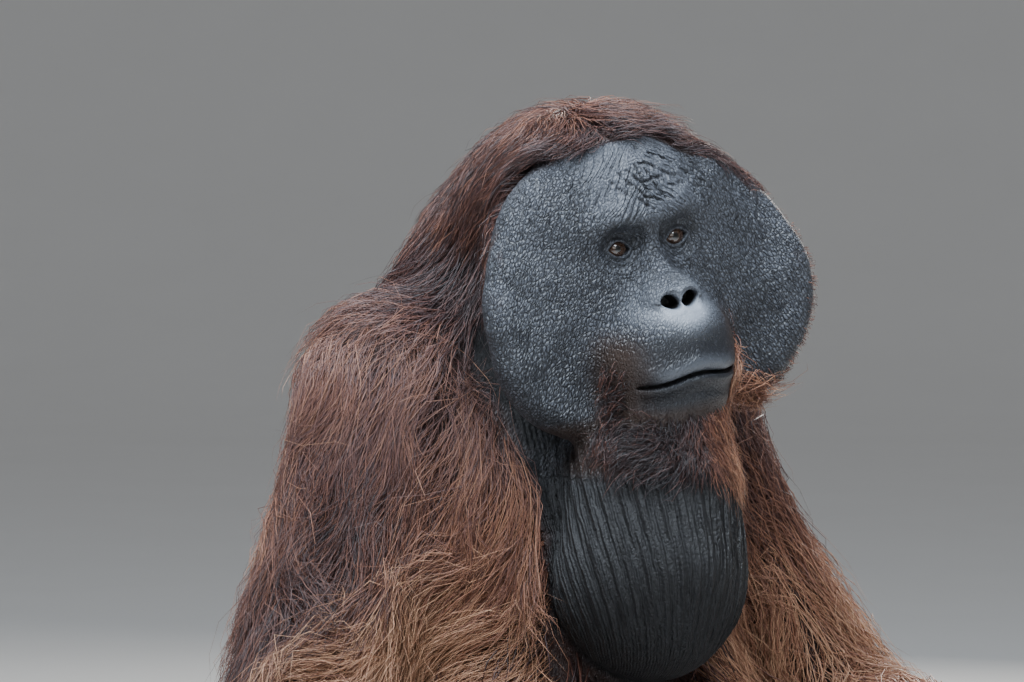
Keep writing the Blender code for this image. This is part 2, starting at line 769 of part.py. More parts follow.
def edge_faults(obj):
    """Points on edges that don't have two faces, once points within a thousandth of a millimetre count as one."""
    points = np.array([v.co for v in obj.data.vertices])
    obj.data.calc_loop_triangles()
    triangles = np.array([t.vertices for t in obj.data.loop_triangles])
    faults = []
    for offset in (0.0, 0.5):
        _, index = np.unique(np.round(points / 1.2e-6 + offset), axis=0, return_inverse=True)
        faces = index.reshape(-1)[triangles]
        whole = (faces[:, 0] != faces[:, 1]) & (faces[:, 1] != faces[:, 2]) & (faces[:, 0] != faces[:, 2])
        faces = faces[whole]
        ends = np.sort(np.concatenate([faces[:, [0, 1]], faces[:, [1, 2]], faces[:, [2, 0]]]), axis=1)
        edges, counts = np.unique(ends, axis=0, return_counts=True)
        place = np.zeros((len(points), 3))
        place[index.reshape(-1)] = points
        faults += [Vector(place[edge[0]]) for edge in edges[counts != 2]]
    return faults


def with_locks(form, locks, draw):
    """The form and its locks as one body, tried again with the locks a hair aside if it touches itself."""
    plain = form.data
    for again in range(12):
        form.data = plain.copy()
        moved = []
        for vertices, faces in locks:
            aside = Vector([draw.uniform(-1, 1) * GAP * 0.5 for _ in range(3)])
            moved.append(lock_object([v + aside for v in vertices], faces))
        boolean(form, "UNION", moved)
        keep_largest(form)
        faults = edge_faults(form)
        if not faults:
            break
        if again % 2:
            near = [BVHTree.FromPolygons(*lock).find_nearest(faults[0])[3] for lock in locks]
            locks = [lock for lock, distance in zip(locks, near) if distance > min(near)]
    return form


def finish(form, name, collection):
    skin = SKINS[name.removesuffix("_left").removesuffix("_right")]
    form.name = name
    form.data.materials.clear()
    form.data.materials.append(material(skin))
    form.data.shade_smooth()
    form.data.set_sharp_from_angle(angle=math.radians(40))
    for owner in list(form.users_collection):
        owner.objects.unlink(form)
    collection.objects.link(form)


def main():
    clear_scene()
    draw = random.Random(SEED)
    forms = make_forms()
    trees = {name: tree_of([form]) for name, form in forms.items()}
    plans = coat_plans()
    collection = bpy.data.collections.new("orangutan")
    bpy.context.scene.collection.children.link(collection)
    earlier = []
    taken = []
    for name, form in forms.items():
        cutter = grown(form)
        meeting = [copy_of(other) for other in earlier if boxes_meet(form, other)]
        boolean(form, "DIFFERENCE", meeting)
        keep_largest(form)
        if name in plans:
            locks = coat_of(name, trees, plans[name], taken, draw)
            taken += [BVHTree.FromPolygons(*each) for each in locks]
            with_locks(form, locks, draw)
        if name.startswith("eye"):
            remove([cutter])
        else:
            earlier.append(cutter)
        finish(form, name, collection)
    remove(earlier)


main()
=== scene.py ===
import math

import bmesh
import bpy
import numpy as np
from mathutils import Matrix, Vector


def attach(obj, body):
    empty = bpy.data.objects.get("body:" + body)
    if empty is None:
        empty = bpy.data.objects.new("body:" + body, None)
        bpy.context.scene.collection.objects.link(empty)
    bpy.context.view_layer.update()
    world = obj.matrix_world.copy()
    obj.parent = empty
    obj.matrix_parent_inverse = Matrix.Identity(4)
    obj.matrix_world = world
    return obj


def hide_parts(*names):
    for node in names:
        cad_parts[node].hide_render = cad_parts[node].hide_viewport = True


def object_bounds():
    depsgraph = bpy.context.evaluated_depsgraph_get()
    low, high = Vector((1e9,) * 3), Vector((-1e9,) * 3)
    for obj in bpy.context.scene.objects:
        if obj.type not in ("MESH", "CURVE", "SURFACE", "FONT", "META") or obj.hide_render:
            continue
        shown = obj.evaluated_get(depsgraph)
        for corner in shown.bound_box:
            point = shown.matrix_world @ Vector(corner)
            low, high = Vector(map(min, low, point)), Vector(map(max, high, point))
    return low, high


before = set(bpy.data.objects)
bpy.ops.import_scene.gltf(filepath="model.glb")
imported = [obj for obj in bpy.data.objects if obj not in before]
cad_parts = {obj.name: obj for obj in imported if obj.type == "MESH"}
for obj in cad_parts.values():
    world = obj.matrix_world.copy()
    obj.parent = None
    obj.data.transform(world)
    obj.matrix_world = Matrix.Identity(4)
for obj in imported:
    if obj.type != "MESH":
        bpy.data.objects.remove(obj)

cadBox = [list(corner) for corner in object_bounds()]
print("frame loaded,", len(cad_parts), "nodes")

# places of the left side in metres; the right side mirrors them in X
place = {
    "shoulder": (0.145, 0.062, 0.660),
    "elbow": (0.292, -0.012, 0.345),
    "wrist": (0.178, -0.345, 0.392),
    "hip": (0.100, 0.055, 0.130),
    "knee": (0.245, -0.165, 0.258),
    "ankle": (0.160, -0.350, 0.075),
    "eyes": (0.0, -0.114, 0.795),    # origin of the head's own frame: -Y out of the face, +Z up the forehead
    "headYaw": -3,
    "headRoll": -10,
}
place = {name: np.array(value, float) for name, value in place.items()}
headTurn = np.array(Matrix.Rotation(math.radians(place["headYaw"]), 3, "Z")
                    @ Matrix.Rotation(math.radians(place["headRoll"]), 3, "Y"))


def toHead(points):
    return (points - place["eyes"]) @ headTurn


def fromHead(points):
    return points @ headTurn.T + place["eyes"]


def toLeft(points):
    # the right side's points folded over on to the left
    return np.hstack([np.abs(points[:, :1]), points[:, 1:]])


def between(start, end, share, shift=(0, 0, 0)):
    return place[start] + (place[end] - place[start]) * share + np.array(shift)


# distances: every form gives its distance, negative inside, as one array for many points

def melt(a, b, width):
    # the smaller of two distances, eased by h * h * width / 4 where they differ by less than width
    h = np.maximum(width - np.abs(a - b), 0) / width
    return np.minimum(a, b) - h * h * width / 4


def carve(a, b, width):
    return -melt(-a, b, width)


def bell(value, spread):
    return np.exp(-np.square(value / spread))


def ease(value, low, high):
    # 0 below low, 1 above high, and t * t * (3 - 2 t) between them
    t = np.clip((value - low) / (high - low), 0, 1)
    return t * t * (3 - 2 * t)


def ballDistance(points, centre, half, turned=(0, 0, 0)):
    # near * (near - 1) / slope, with near the length of p / half and slope that of p / half squared
    local = points - np.array(centre)
    if any(turned):
        spin = [Matrix.Rotation(math.radians(turned[i]), 3, "XYZ"[i]) for i in range(3)]
        local = local @ np.array(spin[2] @ spin[1] @ spin[0])
    half = np.array(half)
    near = np.sqrt(np.square(local / half).sum(1))
    slope = np.sqrt(np.square(local / half ** 2).sum(1))
    return near * (near - 1) / np.maximum(slope, 1e-6)


def lineDistance(points, path, radii):
    # the least over the pieces of a bent line of the distance to it less its eased radius there
    least = np.full(len(points), 9.0)
    for i in range(len(path) - 1):
        a, b = path[i], path[i + 1]
        t = np.clip((points - a) @ (b - a) / ((b - a) @ (b - a)), 0, 1)
        gap = np.sqrt(np.square(points - a - t[:, None] * (b - a)).sum(1))
        least = melt(least, gap - radii[i] - (radii[i + 1] - radii[i]) * t, 0.004)
    return least


def formsDistance(points, forms, reach=0.11):
    # the forms melted together one after another, each worked out only near its own box
    total = np.full(len(points), 0.5)
    for form in forms:
        close = np.all((points > form["low"] - reach) & (points < form["high"] + reach), axis=1)
        if close.any():
            total[close] = melt(total[close], form["distance"](points[close]), form["melt"])
    return total


def ball(at, half, width, turned=(0, 0, 0)):
    at, wide = np.array(at, float), max(half)
    return {"low": at - wide, "high": at + wide, "melt": width,
            "distance": lambda points: ballDistance(points, at, half, turned)}


def line(path, radii, width):
    path, wide = np.array(path, float), max(radii)
    return {"low": path.min(0) - wide, "high": path.max(0) + wide, "melt": width,
            "distance": lambda points: lineDistance(points, path, radii)}


coreDepth = 0.010    # how far the skin lies inside the solids where the coat has its dense part

trunkForms = [
    ball((0, 0.055, 0.550), (0.178, 0.150, 0.170), 0.05),
    ball((0, 0.105, 0.640), (0.150, 0.110, 0.110), 0.05),
    ball((0, -0.005, 0.300), (0.180, 0.165, 0.170), 0.05),
    ball((0, 0.060, 0.400), (0.168, 0.150, 0.200), 0.05),
    ball((0, 0.075, 0.150), (0.165, 0.140, 0.140), 0.05),
    ball((0, 0.020, 0.078), (0.120, 0.105, 0.090), 0.04),
    ball((0.072, 0.085, 0.085), (0.090, 0.105, 0.093), 0.03),
    ball((0.122, 0.072, 0.664), (0.082, 0.080, 0.080), 0.04),
    ball((0, 0.036, 0.676), (0.102, 0.088, 0.105), 0.05),
    ball((0, 0.074, 0.750), (0.100, 0.100, 0.104), 0.04),
]
armForms = [
    line([place["shoulder"], between("shoulder", "elbow", 0.45, (-0.016, 0.018, 0)), place["elbow"]],
         [0.066, 0.055, 0.046], 0.04),
    line([place["elbow"], between("elbow", "wrist", 0.4, (0.004, 0, 0.004)), place["wrist"]],
         [0.045, 0.043, 0.027], 0.02),
]
legForms = [
    line([place["hip"], between("hip", "knee", 0.5, (0.004, 0, 0)), place["knee"]], [0.082, 0.070, 0.052], 0.03),
    line([place["knee"], between("knee", "ankle", 0.4, (0, 0.012, -0.006)), place["ankle"]],
         [0.044, 0.043, 0.027], 0.02),
]

digits = {
    "fingerSpread": (-0.034, -0.012, 0.011, 0.033),
    "fingerReach": (0.92, 1.0, 1.0, 0.88),
    "fingerBend": ((0, 0, 0), (-0.002, -0.026, -0.036), (-0.003, -0.022, -0.082), (-0.004, 0.006, -0.118)),
    "fingerRadii": (0.0132, 0.0113, 0.0105, 0.0085),
    "toeSpread": (-0.030, -0.010, 0.011, 0.031),
    "toeReach": (0.95, 1.0, 0.95, 0.84),
    "toeBend": ((0, 0, 0), (-0.008, -0.040, 0.014), (-0.014, -0.078, 0.004), (-0.015, -0.086, -0.020)),
    "toeRadii": (0.0130, 0.0108, 0.0102, 0.0086),
    "thumb": ((-0.036, 0.0, 0.004), (-0.054, -0.006, -0.014), (-0.058, -0.012, -0.034)),
    "bigToe": ((-0.022, -0.008, -0.016), (-0.048, -0.026, -0.020), (-0.062, -0.050, -0.024)),
}
knuckles = place["wrist"] + (-0.012, -0.085, -0.078)
palm = place["wrist"] + (knuckles - place["wrist"]) * 0.55
heel = np.array((0.166, -0.322, 0.030))
instep = np.array((0.152, -0.395, 0.040))
footBall = np.array((0.136, -0.455, 0.030))


def digitPaths(kind):
    # the bent centre lines of four fingers or toes and of the thumb or big toe
    paths = []
    for x, reach in zip(digits[kind + "Spread"], digits[kind + "Reach"]):
        root = knuckles + (x, 0.002, 0) if kind == "finger" else footBall + (x, -0.008 + abs(x) * 0.2, 0.004)
        paths.append([root + np.array(step) * reach for step in digits[kind + "Bend"]])
    first, middle = ("thumb", palm) if kind == "finger" else ("bigToe", instep)
    return paths, [middle + np.array(step) for step in digits[first]]


fingerPaths, thumbPath = digitPaths("finger")
toePaths, bigToePath = digitPaths("toe")
handForms = [
    line([place["wrist"] + (0.004, 0.020, -0.002), place["wrist"] + (palm - place["wrist"]) * 0.4, palm],
         [0.027, 0.027, 0.025], 0.012),
    ball(palm, (0.043, 0.062, 0.023), 0.010, (42, 0, 8)),
    ball(knuckles, (0.046, 0.026, 0.020), 0.008, (42, 0, 8)),
    line(thumbPath, [0.013, 0.0105, 0.0075], 0.008),
] + [line(path, digits["fingerRadii"], 0.0030) for path in fingerPaths]
handForms += [ball(path[i], (0.0128 - 0.0011 * i,) * 3, 0.004) for path in fingerPaths for i in (1, 2)]
footForms = [
    ball(heel, (0.032, 0.036, 0.033), 0.012),
    line([place["ankle"], instep, footBall], [0.028, 0.030, 0.026], 0.012),
    ball(footBall, (0.044, 0.032, 0.024), 0.012, (0, 0, 14)),
    ball((heel + footBall) / 2, (0.033, 0.070, 0.026), 0.012, (0, 0, 14)),
    line(bigToePath, [0.015, 0.0125, 0.0095], 0.008),
] + [line(path, digits["toeRadii"], 0.0030) for path in toePaths]
sacForms = [
    ball((0, -0.122, 0.516), (0.088, 0.060, 0.080), 0.03),
    ball((0.012, -0.105, 0.590), (0.074, 0.056, 0.076), 0.04),
    line([(0.018, -0.100, 0.640), (0.014, -0.135, 0.595), (0.004, -0.155, 0.530), (0, -0.140, 0.480)],
         [0.036, 0.036, 0.036, 0.036], 0.03),
]
# in the head's frame, left half: first the skull and cheeks, then what stands out from the face
skullForms = [
    ball((0, 0.080, 0.028), (0.076, 0.095, 0.078), 0.03),
    ball((0, 0.138, 0.024), (0.075, 0.082, 0.062), 0.03),
    ball((0, 0.034, 0.038), (0.082, 0.038, 0.050), 0.02),
    ball((0, 0.024, -0.010), (0.092, 0.024, 0.070), 0.02),
    ball((0, 0.020, -0.040), (0.072, 0.026, 0.056), 0.02),
    ball((0, 0.055, -0.060), (0.062, 0.060, 0.060), 0.02),
    ball((0.054, 0.030, 0.026), (0.040, 0.020, 0.040), 0.03),
]
snoutForms = [
    ball((0, 0.004, -0.093), (0.063, 0.062, 0.058), 0.014),
    ball((0, 0.006, -0.126), (0.052, 0.054, 0.044), 0.014),
    ball((0, -0.004, -0.050), (0.032, 0.034, 0.023), 0.012),
    ball((0, -0.018, -0.070), (0.037, 0.038, 0.021), 0.012),
    ball((0.011, -0.028, -0.045), (0.0155, 0.013, 0.0135), 0.006),
]
browForms = [
    line([(0, 0.004, 0.012), (0, -0.006, -0.018), (0, -0.020, -0.040)], [0.009, 0.010, 0.018], 0.012),
    line([(0.006, -0.005, 0.021), (0.026, -0.007, 0.027), (0.050, 0.005, 0.018), (0.062, 0.017, 0)],
         [0.009, 0.0105, 0.010, 0.009], 0.014),
]

turnOnce = 6.2832    # radians

face = {
    "eye": (0.0282, 0.0082, 0.0),
    "lidHalfWidth": 0.0102,
    "upperLid": 0.0062,
    "lowerLid": 0.0056,
    "nostril": (0.0091, -0.0462),
    "mouthHalfWidth": 0.047,
    "mouthZ": -0.1070,
    "browFold": 0.0056,    # from one fold of the brow to the next, and from one fine line to the next
    "browLine": 0.0031,
    "padShift": 0.0030,
    "padCentre": (0.079, 0.020, -0.047),
    "padHalf": (0.0785, 0.101),
    "padRim": 0.0165,
    "lips": (                  # height of each swell or groove, how far it lies above the mouth, width
        (0.0030, 0.0085, 0.0075), (0.0020, -0.0056, 0.0045), (-0.0030, 0, 0.0022), (-0.0015, -0.0145, 0.0060),
    ),
    "lidFolds": (              # height of each fold, how far it lies from the lids' edge, width, share above the eye
        (0.0014, 0.0014, 0.0012, 1), (-0.0016, 0.0050, 0.0010, 1), (0.0006, 0.0066, 0.0009, 1),
        (-0.0011, 0.0084, 0.0011, 0.6), (-0.0009, 0.0118, 0.0013, 0.2),
    ),
    "eyeFurrows": (0.0175, 0.0205, 0.0240, 0.0280),    # distances of the soft furrows from the middle of the eye
    "creases": (               # across, up, across, up, depth of the cuts in the forehead
        (0.001, 0.066, 0.016, 0.061, 0.0014), (0.001, 0.050, 0.020, 0.053, 0.0013),
        (0.016, 0.072, 0.034, 0.062, 0.0012), (-0.012, 0.062, 0.004, 0.044, 0.0014),
        (-0.014, 0.053, -0.002, 0.040, 0.0012), (0.005, 0.060, 0.014, 0.040, 0.0013),
        (-0.003, 0.041, 0.012, 0.033, 0.0012), (0.010, 0.046, 0.018, 0.034, 0.0013),
        (-0.009, 0.039, 0.003, 0.029, 0.0011), (0.022, 0.056, 0.036, 0.050, 0.0011),
        (0.004, 0.074, 0.009, 0.083, 0.0010), (0.024, 0.045, 0.040, 0.044, 0.0010),
        (-0.022, 0.066, -0.012, 0.050, 0.0009), (-0.030, 0.058, -0.018, 0.043, 0.0009),
        (0.040, 0.058, 0.050, 0.047, 0.0010),
    ),
}


def padDistance(x, y, z):
    # a disc with a rounded rim: the length of (distance to its outline, distance to its middle sheet) less the rim
    s = np.abs(x - face["padShift"])
    cx, cy, cz = face["padCentre"]
    u, w = s - cx, z - cz
    narrow = np.where(u > 0, 1 - 2.0 * np.clip(w, 0, 0.1), 1)
    u = u / narrow
    rim = face["padRim"] - 0.03 * np.clip(w, -0.1, 0.1)
    a, b = face["padHalf"][0] - rim, face["padHalf"][1] - rim
    near = np.sqrt((u / a) ** 2 + (w / b) ** 2)
    slope = np.sqrt((u / a ** 2) ** 2 + (w / b ** 2) ** 2)
    flat = near * (near - 1) / np.maximum(slope, 1e-6)
    cup = 0.010 * (np.maximum(u, 0) / 0.080) ** 2
    sheet = cy - cup + 0.020 * np.clip(w, 0, 0.12) / 0.1
    return np.hypot(np.maximum(flat, 0), y - sheet) - rim


def mouthLine(x):
    # high at the middle and lower at each side
    s = np.abs(x)
    return face["mouthZ"] - 0.0048 * ease(s, 0.002, 0.034)


def lidGap(s, z):
    # distance in the plane of the face to the almond between the lids, two parabolas that meet at its corners
    across = (s - face["eye"][0]) / face["lidHalfWidth"]
    rise = z - 0.10 * (s - face["eye"][0])
    bow = 1 - across ** 2
    return np.maximum(rise - face["upperLid"] * bow, -rise - face["lowerLid"] * bow)


def browFan(x, z):
    # the same number all along each fold of the brow: the folds run down and outwards, like a tent from its ridge
    s = np.abs(x)
    return s * 0.80 + z * 0.60 + 0.0022 * np.sin(z * 150 + s * 60) + 0.0012 * np.sin(z * 390 - x * 170)


def browCracks(x, z):
    # depth of the forehead's cracks: one down the middle and creases that branch from it
    crack = x - 0.0016 * np.sin(z * 170) + 0.001
    out = 0.0024 * bell(crack, 0.0011) * ease(z, 0.024, 0.034) * ease(-z, -0.074, -0.062)
    for x0, z0, x1, z1, deep in face["creases"]:
        t = np.clip(((x - x0) * (x1 - x0) + (z - z0) * (z1 - z0)) / ((x1 - x0) ** 2 + (z1 - z0) ** 2), 0, 1)
        bow = 0.0012 * np.sin(t * 3.1 + x0 * 400) + 0.0005 * np.sin(t * 15 + z0 * 900)
        away = np.hypot(x - x0 - (x1 - x0) * t, z - z0 - (z1 - z0) * t - bow)
        out += 1.7 * deep * bell(away, 0.0012) * ease(t, -0.3, 0.25) * ease(1 - t, -0.3, 0.25)
    return out


def faceRelief(x, y, z):
    # how far the skin stands out from the plain forms: lips, folds of the lids, creases of brow and cheeks
    s = np.abs(x)
    front = ease(-y, -0.045, -0.020)
    line, ends = mouthLine(x), ease(face["mouthHalfWidth"] + 0.003 - s, 0, 0.009)
    out = np.zeros(len(x))
    for height, above, wide in face["lips"]:
        out += height * bell(z - line - above, wide) * ends
    gap, eyeX = lidGap(s, z), face["eye"][0]
    ring = bell(np.hypot(s - eyeX, z), 0.030)
    for height, away, wide, share in face["lidFolds"]:
        out += height * bell(gap - away, wide) * ring * np.where(z < 0, 1, share)
    out -= 0.0016 * bell(s - eyeX, 0.018) * bell(z - 0.0145, 0.0050)
    out -= 0.0034 * bell(s - 0.0125, 0.0056) * bell(z - 0.006, 0.009)
    out -= browCracks(x, z)
    folds = np.sin(browFan(x, z) * turnOnce / face["browFold"])
    out += 0.00070 * folds * ease(z, 0.014, 0.030) * ease(s, 0.003, 0.012) * ease(-z, -0.090, -0.070)
    # broad swells of the cheek pads
    swell = np.sin(x * 88 + 1.6 * np.sin(z * 47)) * np.sin(z * 61 + 1.2 * np.sin(x * 52 + 1))
    out += 0.0016 * swell * ease(s, 0.052, 0.075)
    # soft furrows under the eyes, and the raised rim round the nostrils
    for at in face["eyeFurrows"]:
        bend = np.hypot(s - eyeX, z * 1.12) - at + 0.0007 * np.sin(x * 420 + at * 3000)
        out -= 0.0007 * bell(bend, 0.0009) * ease(-z, 0.0, 0.010)
    u, v = s - face["nostril"][0], z - face["nostril"][1]
    rim = np.hypot(u / 0.0118, v / 0.0098)
    out += 0.0022 * bell(rim - 1.0, 0.24) * np.where(v > 0, 1, 0.25)
    out += 0.0016 * bell(s - 0.0175, 0.007) * bell(z + 0.058, 0.008)
    return out * front


def faceHollows(x, y, z):
    # how deep the skin is sunk straight back into the face: between the lids, in the nostrils and along the mouth
    s = np.abs(x)
    lids = 0.0125 * ease(-lidGap(s, z), -0.0004, 0.0008) * (np.hypot(s - face["eye"][0], z) < 0.016)
    u, v = s - face["nostril"][0], z - face["nostril"][1]
    u, v = u * 0.90 + v * 0.44, v * 0.90 - u * 0.44
    v = v + 9.0 * np.maximum(u, 0) ** 2 * 1.6
    nostril = 0.016 * ease(1 - np.hypot(u / 0.0092, v / 0.0060), -0.08, 0.36)
    ends = ease(face["mouthHalfWidth"] + 0.002 - s, 0, 0.007)
    mouth = 0.0065 * bell(z - mouthLine(x), 0.0013) * ends
    return np.maximum(np.maximum(lids, nostril), mouth) * ease(-y, -0.030, -0.020)


def pawDistance(half):
    return np.minimum(formsDistance(half, handForms), formsDistance(half, footForms))


def headDistance(local):
    # the head with its pads, ears and folds, in the head's frame
    x, y, z = local.T
    s = np.abs(x)
    half = np.stack([s, y, z], 1)
    d = formsDistance(half, skullForms)
    d = melt(d, padDistance(x, y, z), 0.034)
    d = melt(d, formsDistance(half, snoutForms), 0.012)
    d = melt(d, formsDistance(half, browForms), 0.014)
    close = np.all(np.abs(local - (0, 0.03, -0.03)) < (0.17, 0.10, 0.16), axis=1)
    if not close.any():
        return d
    x, y, z, s, half, out = x[close], y[close], z[close], s[close], half[close], d[close]
    ear = ballDistance(half, (0.073, 0.066, -0.006), (0.011, 0.017, 0.023), (0, 0, 25))
    out = melt(out, ear, 0.004)
    out = carve(out, ballDistance(half, (0.086, 0.062, -0.006), (0.0085, 0.010, 0.014), (0, 0, 25)), 0.003)
    out = carve(out, ballDistance(half, (face["eye"][0] + 0.001, -0.0150, 0.0005), (0.0195, 0.0128, 0.0150)), 0.008)
    out = melt(out, ballDistance(half, face["eye"], (0.0160, 0.0138, 0.0130)), 0.0025)
    d[close] = out - faceRelief(x, y, z)
    return d


def throatTurn(points):
    # the angle round an upright line in the sac, narrowed higher up, so that folds run down towards its middle
    x, y, z = points.T
    return np.arctan2(x - 0.005, -(y + 0.035)) * np.exp(-4 * (z - 0.58))


def sacFolds(points):
    # long folds of the throat: two sines of the turn, bent by sines of the height
    turn, z = throatTurn(points), points[:, 2]
    folds = np.sin(turn * 58 + 1.6 * np.sin(z * 31 + 1)) + 0.8 * np.sin(turn * 113 - 2.0 * np.sin(z * 23))
    return 0.0012 * folds * ease(z, 0.43, 0.50) * ease(-points[:, 1], 0.02, 0.06)


def bodyDistance(points):
    # the whole skin: trunk, limbs, head and throat sac melted together and cut flat at the floor
    half = toLeft(points)
    d = formsDistance(half, trunkForms) + coreDepth
    for forms, width in ((armForms, 0.022), (legForms, 0.022), (handForms, 0.010), (footForms, 0.010)):
        d = melt(d, formsDistance(half, forms), width)
    toSac = formsDistance(points, sacForms)
    d = melt(d, toSac, 0.022) - sacFolds(points) * ease(0.03 - toSac, 0, 0.02)
    local = toHead(points)
    close = np.all(np.abs(local - (0, 0.06, -0.03)) < (0.27, 0.28, 0.25), axis=1)
    d[close] = melt(d[close], headDistance(local[close]), 0.024)
    return np.maximum(d, -points[:, 2])


skin = {
    "grid": 0.012,         # metres between the points of the coarse net
    "halvings": 4,
    "mostMoved": 0.006,    # in one round of settling
    "slopeStep": 0.0006,
}


def settle(points, rounds):
    # moves points on to the skin: down the gradient, by the distance over the gradient's square
    step, most = skin["slopeStep"], skin["mostMoved"]
    for _ in range(rounds):
        here = bodyDistance(points)
        slope = (np.stack([bodyDistance(points + way * step) for way in np.eye(3)], 1) - here[:, None]) / step
        size = np.maximum(np.square(slope).sum(1), 0.15)
        points = points - slope * np.clip(here / size, -most, most)[:, None]
        points[:, 2] = np.maximum(points[:, 2], 0)
    return points


def surfaceNet(values, axes):
    # one point in each cell that the surface crosses, at the mean of its crossings, and a face round each such edge
    shape = np.array(values.shape)
    total, count = np.zeros((*shape, 3)), np.zeros(shape)
    edges = []
    for axis in range(3):
        low = np.take(values, range(shape[axis] - 1), axis)
        high = np.take(values, range(1, shape[axis]), axis)
        at = np.argwhere((low < 0) != (high < 0))
        a, b = low[tuple(at.T)], high[tuple(at.T)]
        crossing = at.astype(float)
        crossing[:, axis] += a / (a - b)
        ring = []
        for first, second in ((0, 0), (-1, 0), (-1, -1), (0, -1)):
            cell = at.copy()
            cell[:, (axis + 1) % 3] += first
            cell[:, (axis + 2) % 3] += second
            np.add.at(total, tuple(cell.T), crossing)
            np.add.at(count, tuple(cell.T), 1)
            ring.append(np.ravel_multi_index(tuple(cell.T), shape))
        ring = np.stack(ring, 1)
        edges.append(np.where((a < 0)[:, None], ring[:, ::-1], ring)[:, ::-1])
    used = np.flatnonzero(count.ravel())
    places = total.reshape(-1, 3)[used] / count.ravel()[used][:, None]
    points = np.stack([np.interp(places[:, i], np.arange(shape[i]), axes[i]) for i in range(3)], 1)
    number = np.full(values.size, -1)
    number[used] = np.arange(len(used))
    return points, number[np.vstack(edges)]


def setPoints(mesh, points):
    mesh.vertices.foreach_set("co", np.ascontiguousarray(points, np.float32).ravel())


def makeMesh(name, points, faces):
    mesh = bpy.data.meshes.new(name)
    size = faces.shape[1]
    mesh.vertices.add(len(points))
    setPoints(mesh, points)
    mesh.loops.add(faces.size)
    mesh.loops.foreach_set("vertex_index", np.ascontiguousarray(faces, np.int32).ravel())
    mesh.polygons.add(len(faces))
    mesh.polygons.foreach_set("loop_start", np.arange(0, faces.size, size, dtype=np.int32))
    mesh.polygons.foreach_set("use_smooth", np.full(len(faces), True))
    mesh.update(calc_edges=True)
    obj = bpy.data.objects.new(name, mesh)
    bpy.context.scene.collection.objects.link(obj)
    return obj


def ringFaces(rings, around):
    # four-sided faces between rings of points that follow one another
    i, j = np.meshgrid(np.arange(rings - 1), np.arange(around), indexing="ij")
    k = (j + 1) % around
    return np.stack([i * around + j, (i + 1) * around + j, (i + 1) * around + k, i * around + k], -1).reshape(-1, 4)


def pointsOf(mesh):
    co = np.empty(len(mesh.vertices) * 3, np.float32)
    mesh.vertices.foreach_get("co", co)
    return co.reshape(-1, 3).astype(float)


def setAttribute(mesh, name, values):
    kind, key = ("FLOAT_VECTOR", "vector") if values.ndim == 2 else ("FLOAT", "value")
    made = mesh.attributes.new(name, kind, "POINT")
    made.data.foreach_set(key, np.ascontiguousarray(values, np.float32).ravel())


def detailOf(points):
    # how many times a place's faces are halved: most at the eyes and mouth, then the face, then sac, hands and feet
    x, y, z = toHead(points).T
    s = np.abs(x)
    facing = (y < 0.042) & (s < 0.175) & (z > -0.185) & (z < 0.115)
    inner = (y < 0.030) & (s < 0.066) & (z > -0.150) & (z < 0.080)
    eyes = (np.hypot(s - face["eye"][0], z) < 0.024) & (y < 0.03)
    nostrils = (s < 0.024) & (np.abs(z - face["nostril"][1]) < 0.015) & (y < 0.0)
    mouth = (s < 0.051) & (np.abs(z - mouthLine(x)) < 0.009) & (y < 0.02)
    folded = (s < 0.030) & (z > 0.024) & (z < 0.080) & (y < 0.02)
    throat = (formsDistance(points, sacForms) < 0.03) & (points[:, 1] < -0.02) & (points[:, 2] > 0.43)
    wrinkled = throat & (points[:, 1] < -0.06) & (points[:, 2] < 0.67)
    limbs = pawDistance(toLeft(points)) < 0.012
    level = np.zeros(len(points), int)
    tips = limbs & (points[:, 1] < place["wrist"][1] - 0.045)
    level[limbs] = 1
    level[facing | throat | tips] = 2
    level[inner | wrinkled] = 3
    level[eyes | nostrils | mouth | folded] = 4
    return level


def makeSkin():
    step = skin["grid"]
    low, high = np.array(cadBox[0]) - 0.02, np.array(cadBox[1]) + 0.02
    axes = [np.arange(low[i], high[i] + step, step) + 0.0007 for i in range(3)]
    grid = np.stack(np.meshgrid(*axes, indexing="ij"), -1).reshape(-1, 3)
    values = np.where(grid[:, 2] < 0.0005, 0.01, bodyDistance(grid)).reshape([len(axis) for axis in axes])
    points, faces = surfaceNet(values, axes)
    points[:, 2] = np.maximum(points[:, 2], 0)
    obj = makeMesh("skin", settle(points, 3), faces)
    for level in range(1, skin["halvings"] + 1):
        bm = bmesh.new()
        bm.from_mesh(obj.data)
        marked = detailOf(pointsOf(obj.data)) >= level
        edges = [e for e in bm.edges if marked[e.verts[0].index] and marked[e.verts[1].index]]
        bmesh.ops.subdivide_edges(bm, edges=edges, cuts=1, use_grid_fill=True)
        bm.to_mesh(obj.data)
        bm.free()
        setPoints(obj.data, settle(pointsOf(obj.data), 3 if level < 4 else 2))
    moved = pointsOf(obj.data)
    local = toHead(moved)
    deep = faceHollows(*local.T)
    setAttribute(obj.data, "hollow", deep)
    local[:, 1] += deep
    setPoints(obj.data, np.where(deep[:, None] > 0, fromHead(local), moved))
    return obj, values, axes


skinPiece, fieldValues, fieldAxes = makeSkin()
skinPiece.data.shade_smooth()
skinPiece.data.calc_loop_triangles()
print("skin:", len(skinPiece.data.loop_triangles), "triangles")


def plug(node, values):
    # links or sets a node's inputs
    for key, value in values.items():
        if isinstance(value, Wire):
            node.id_data.links.new(value.socket, node.inputs[key])
        else:
            node.inputs[key].default_value = value


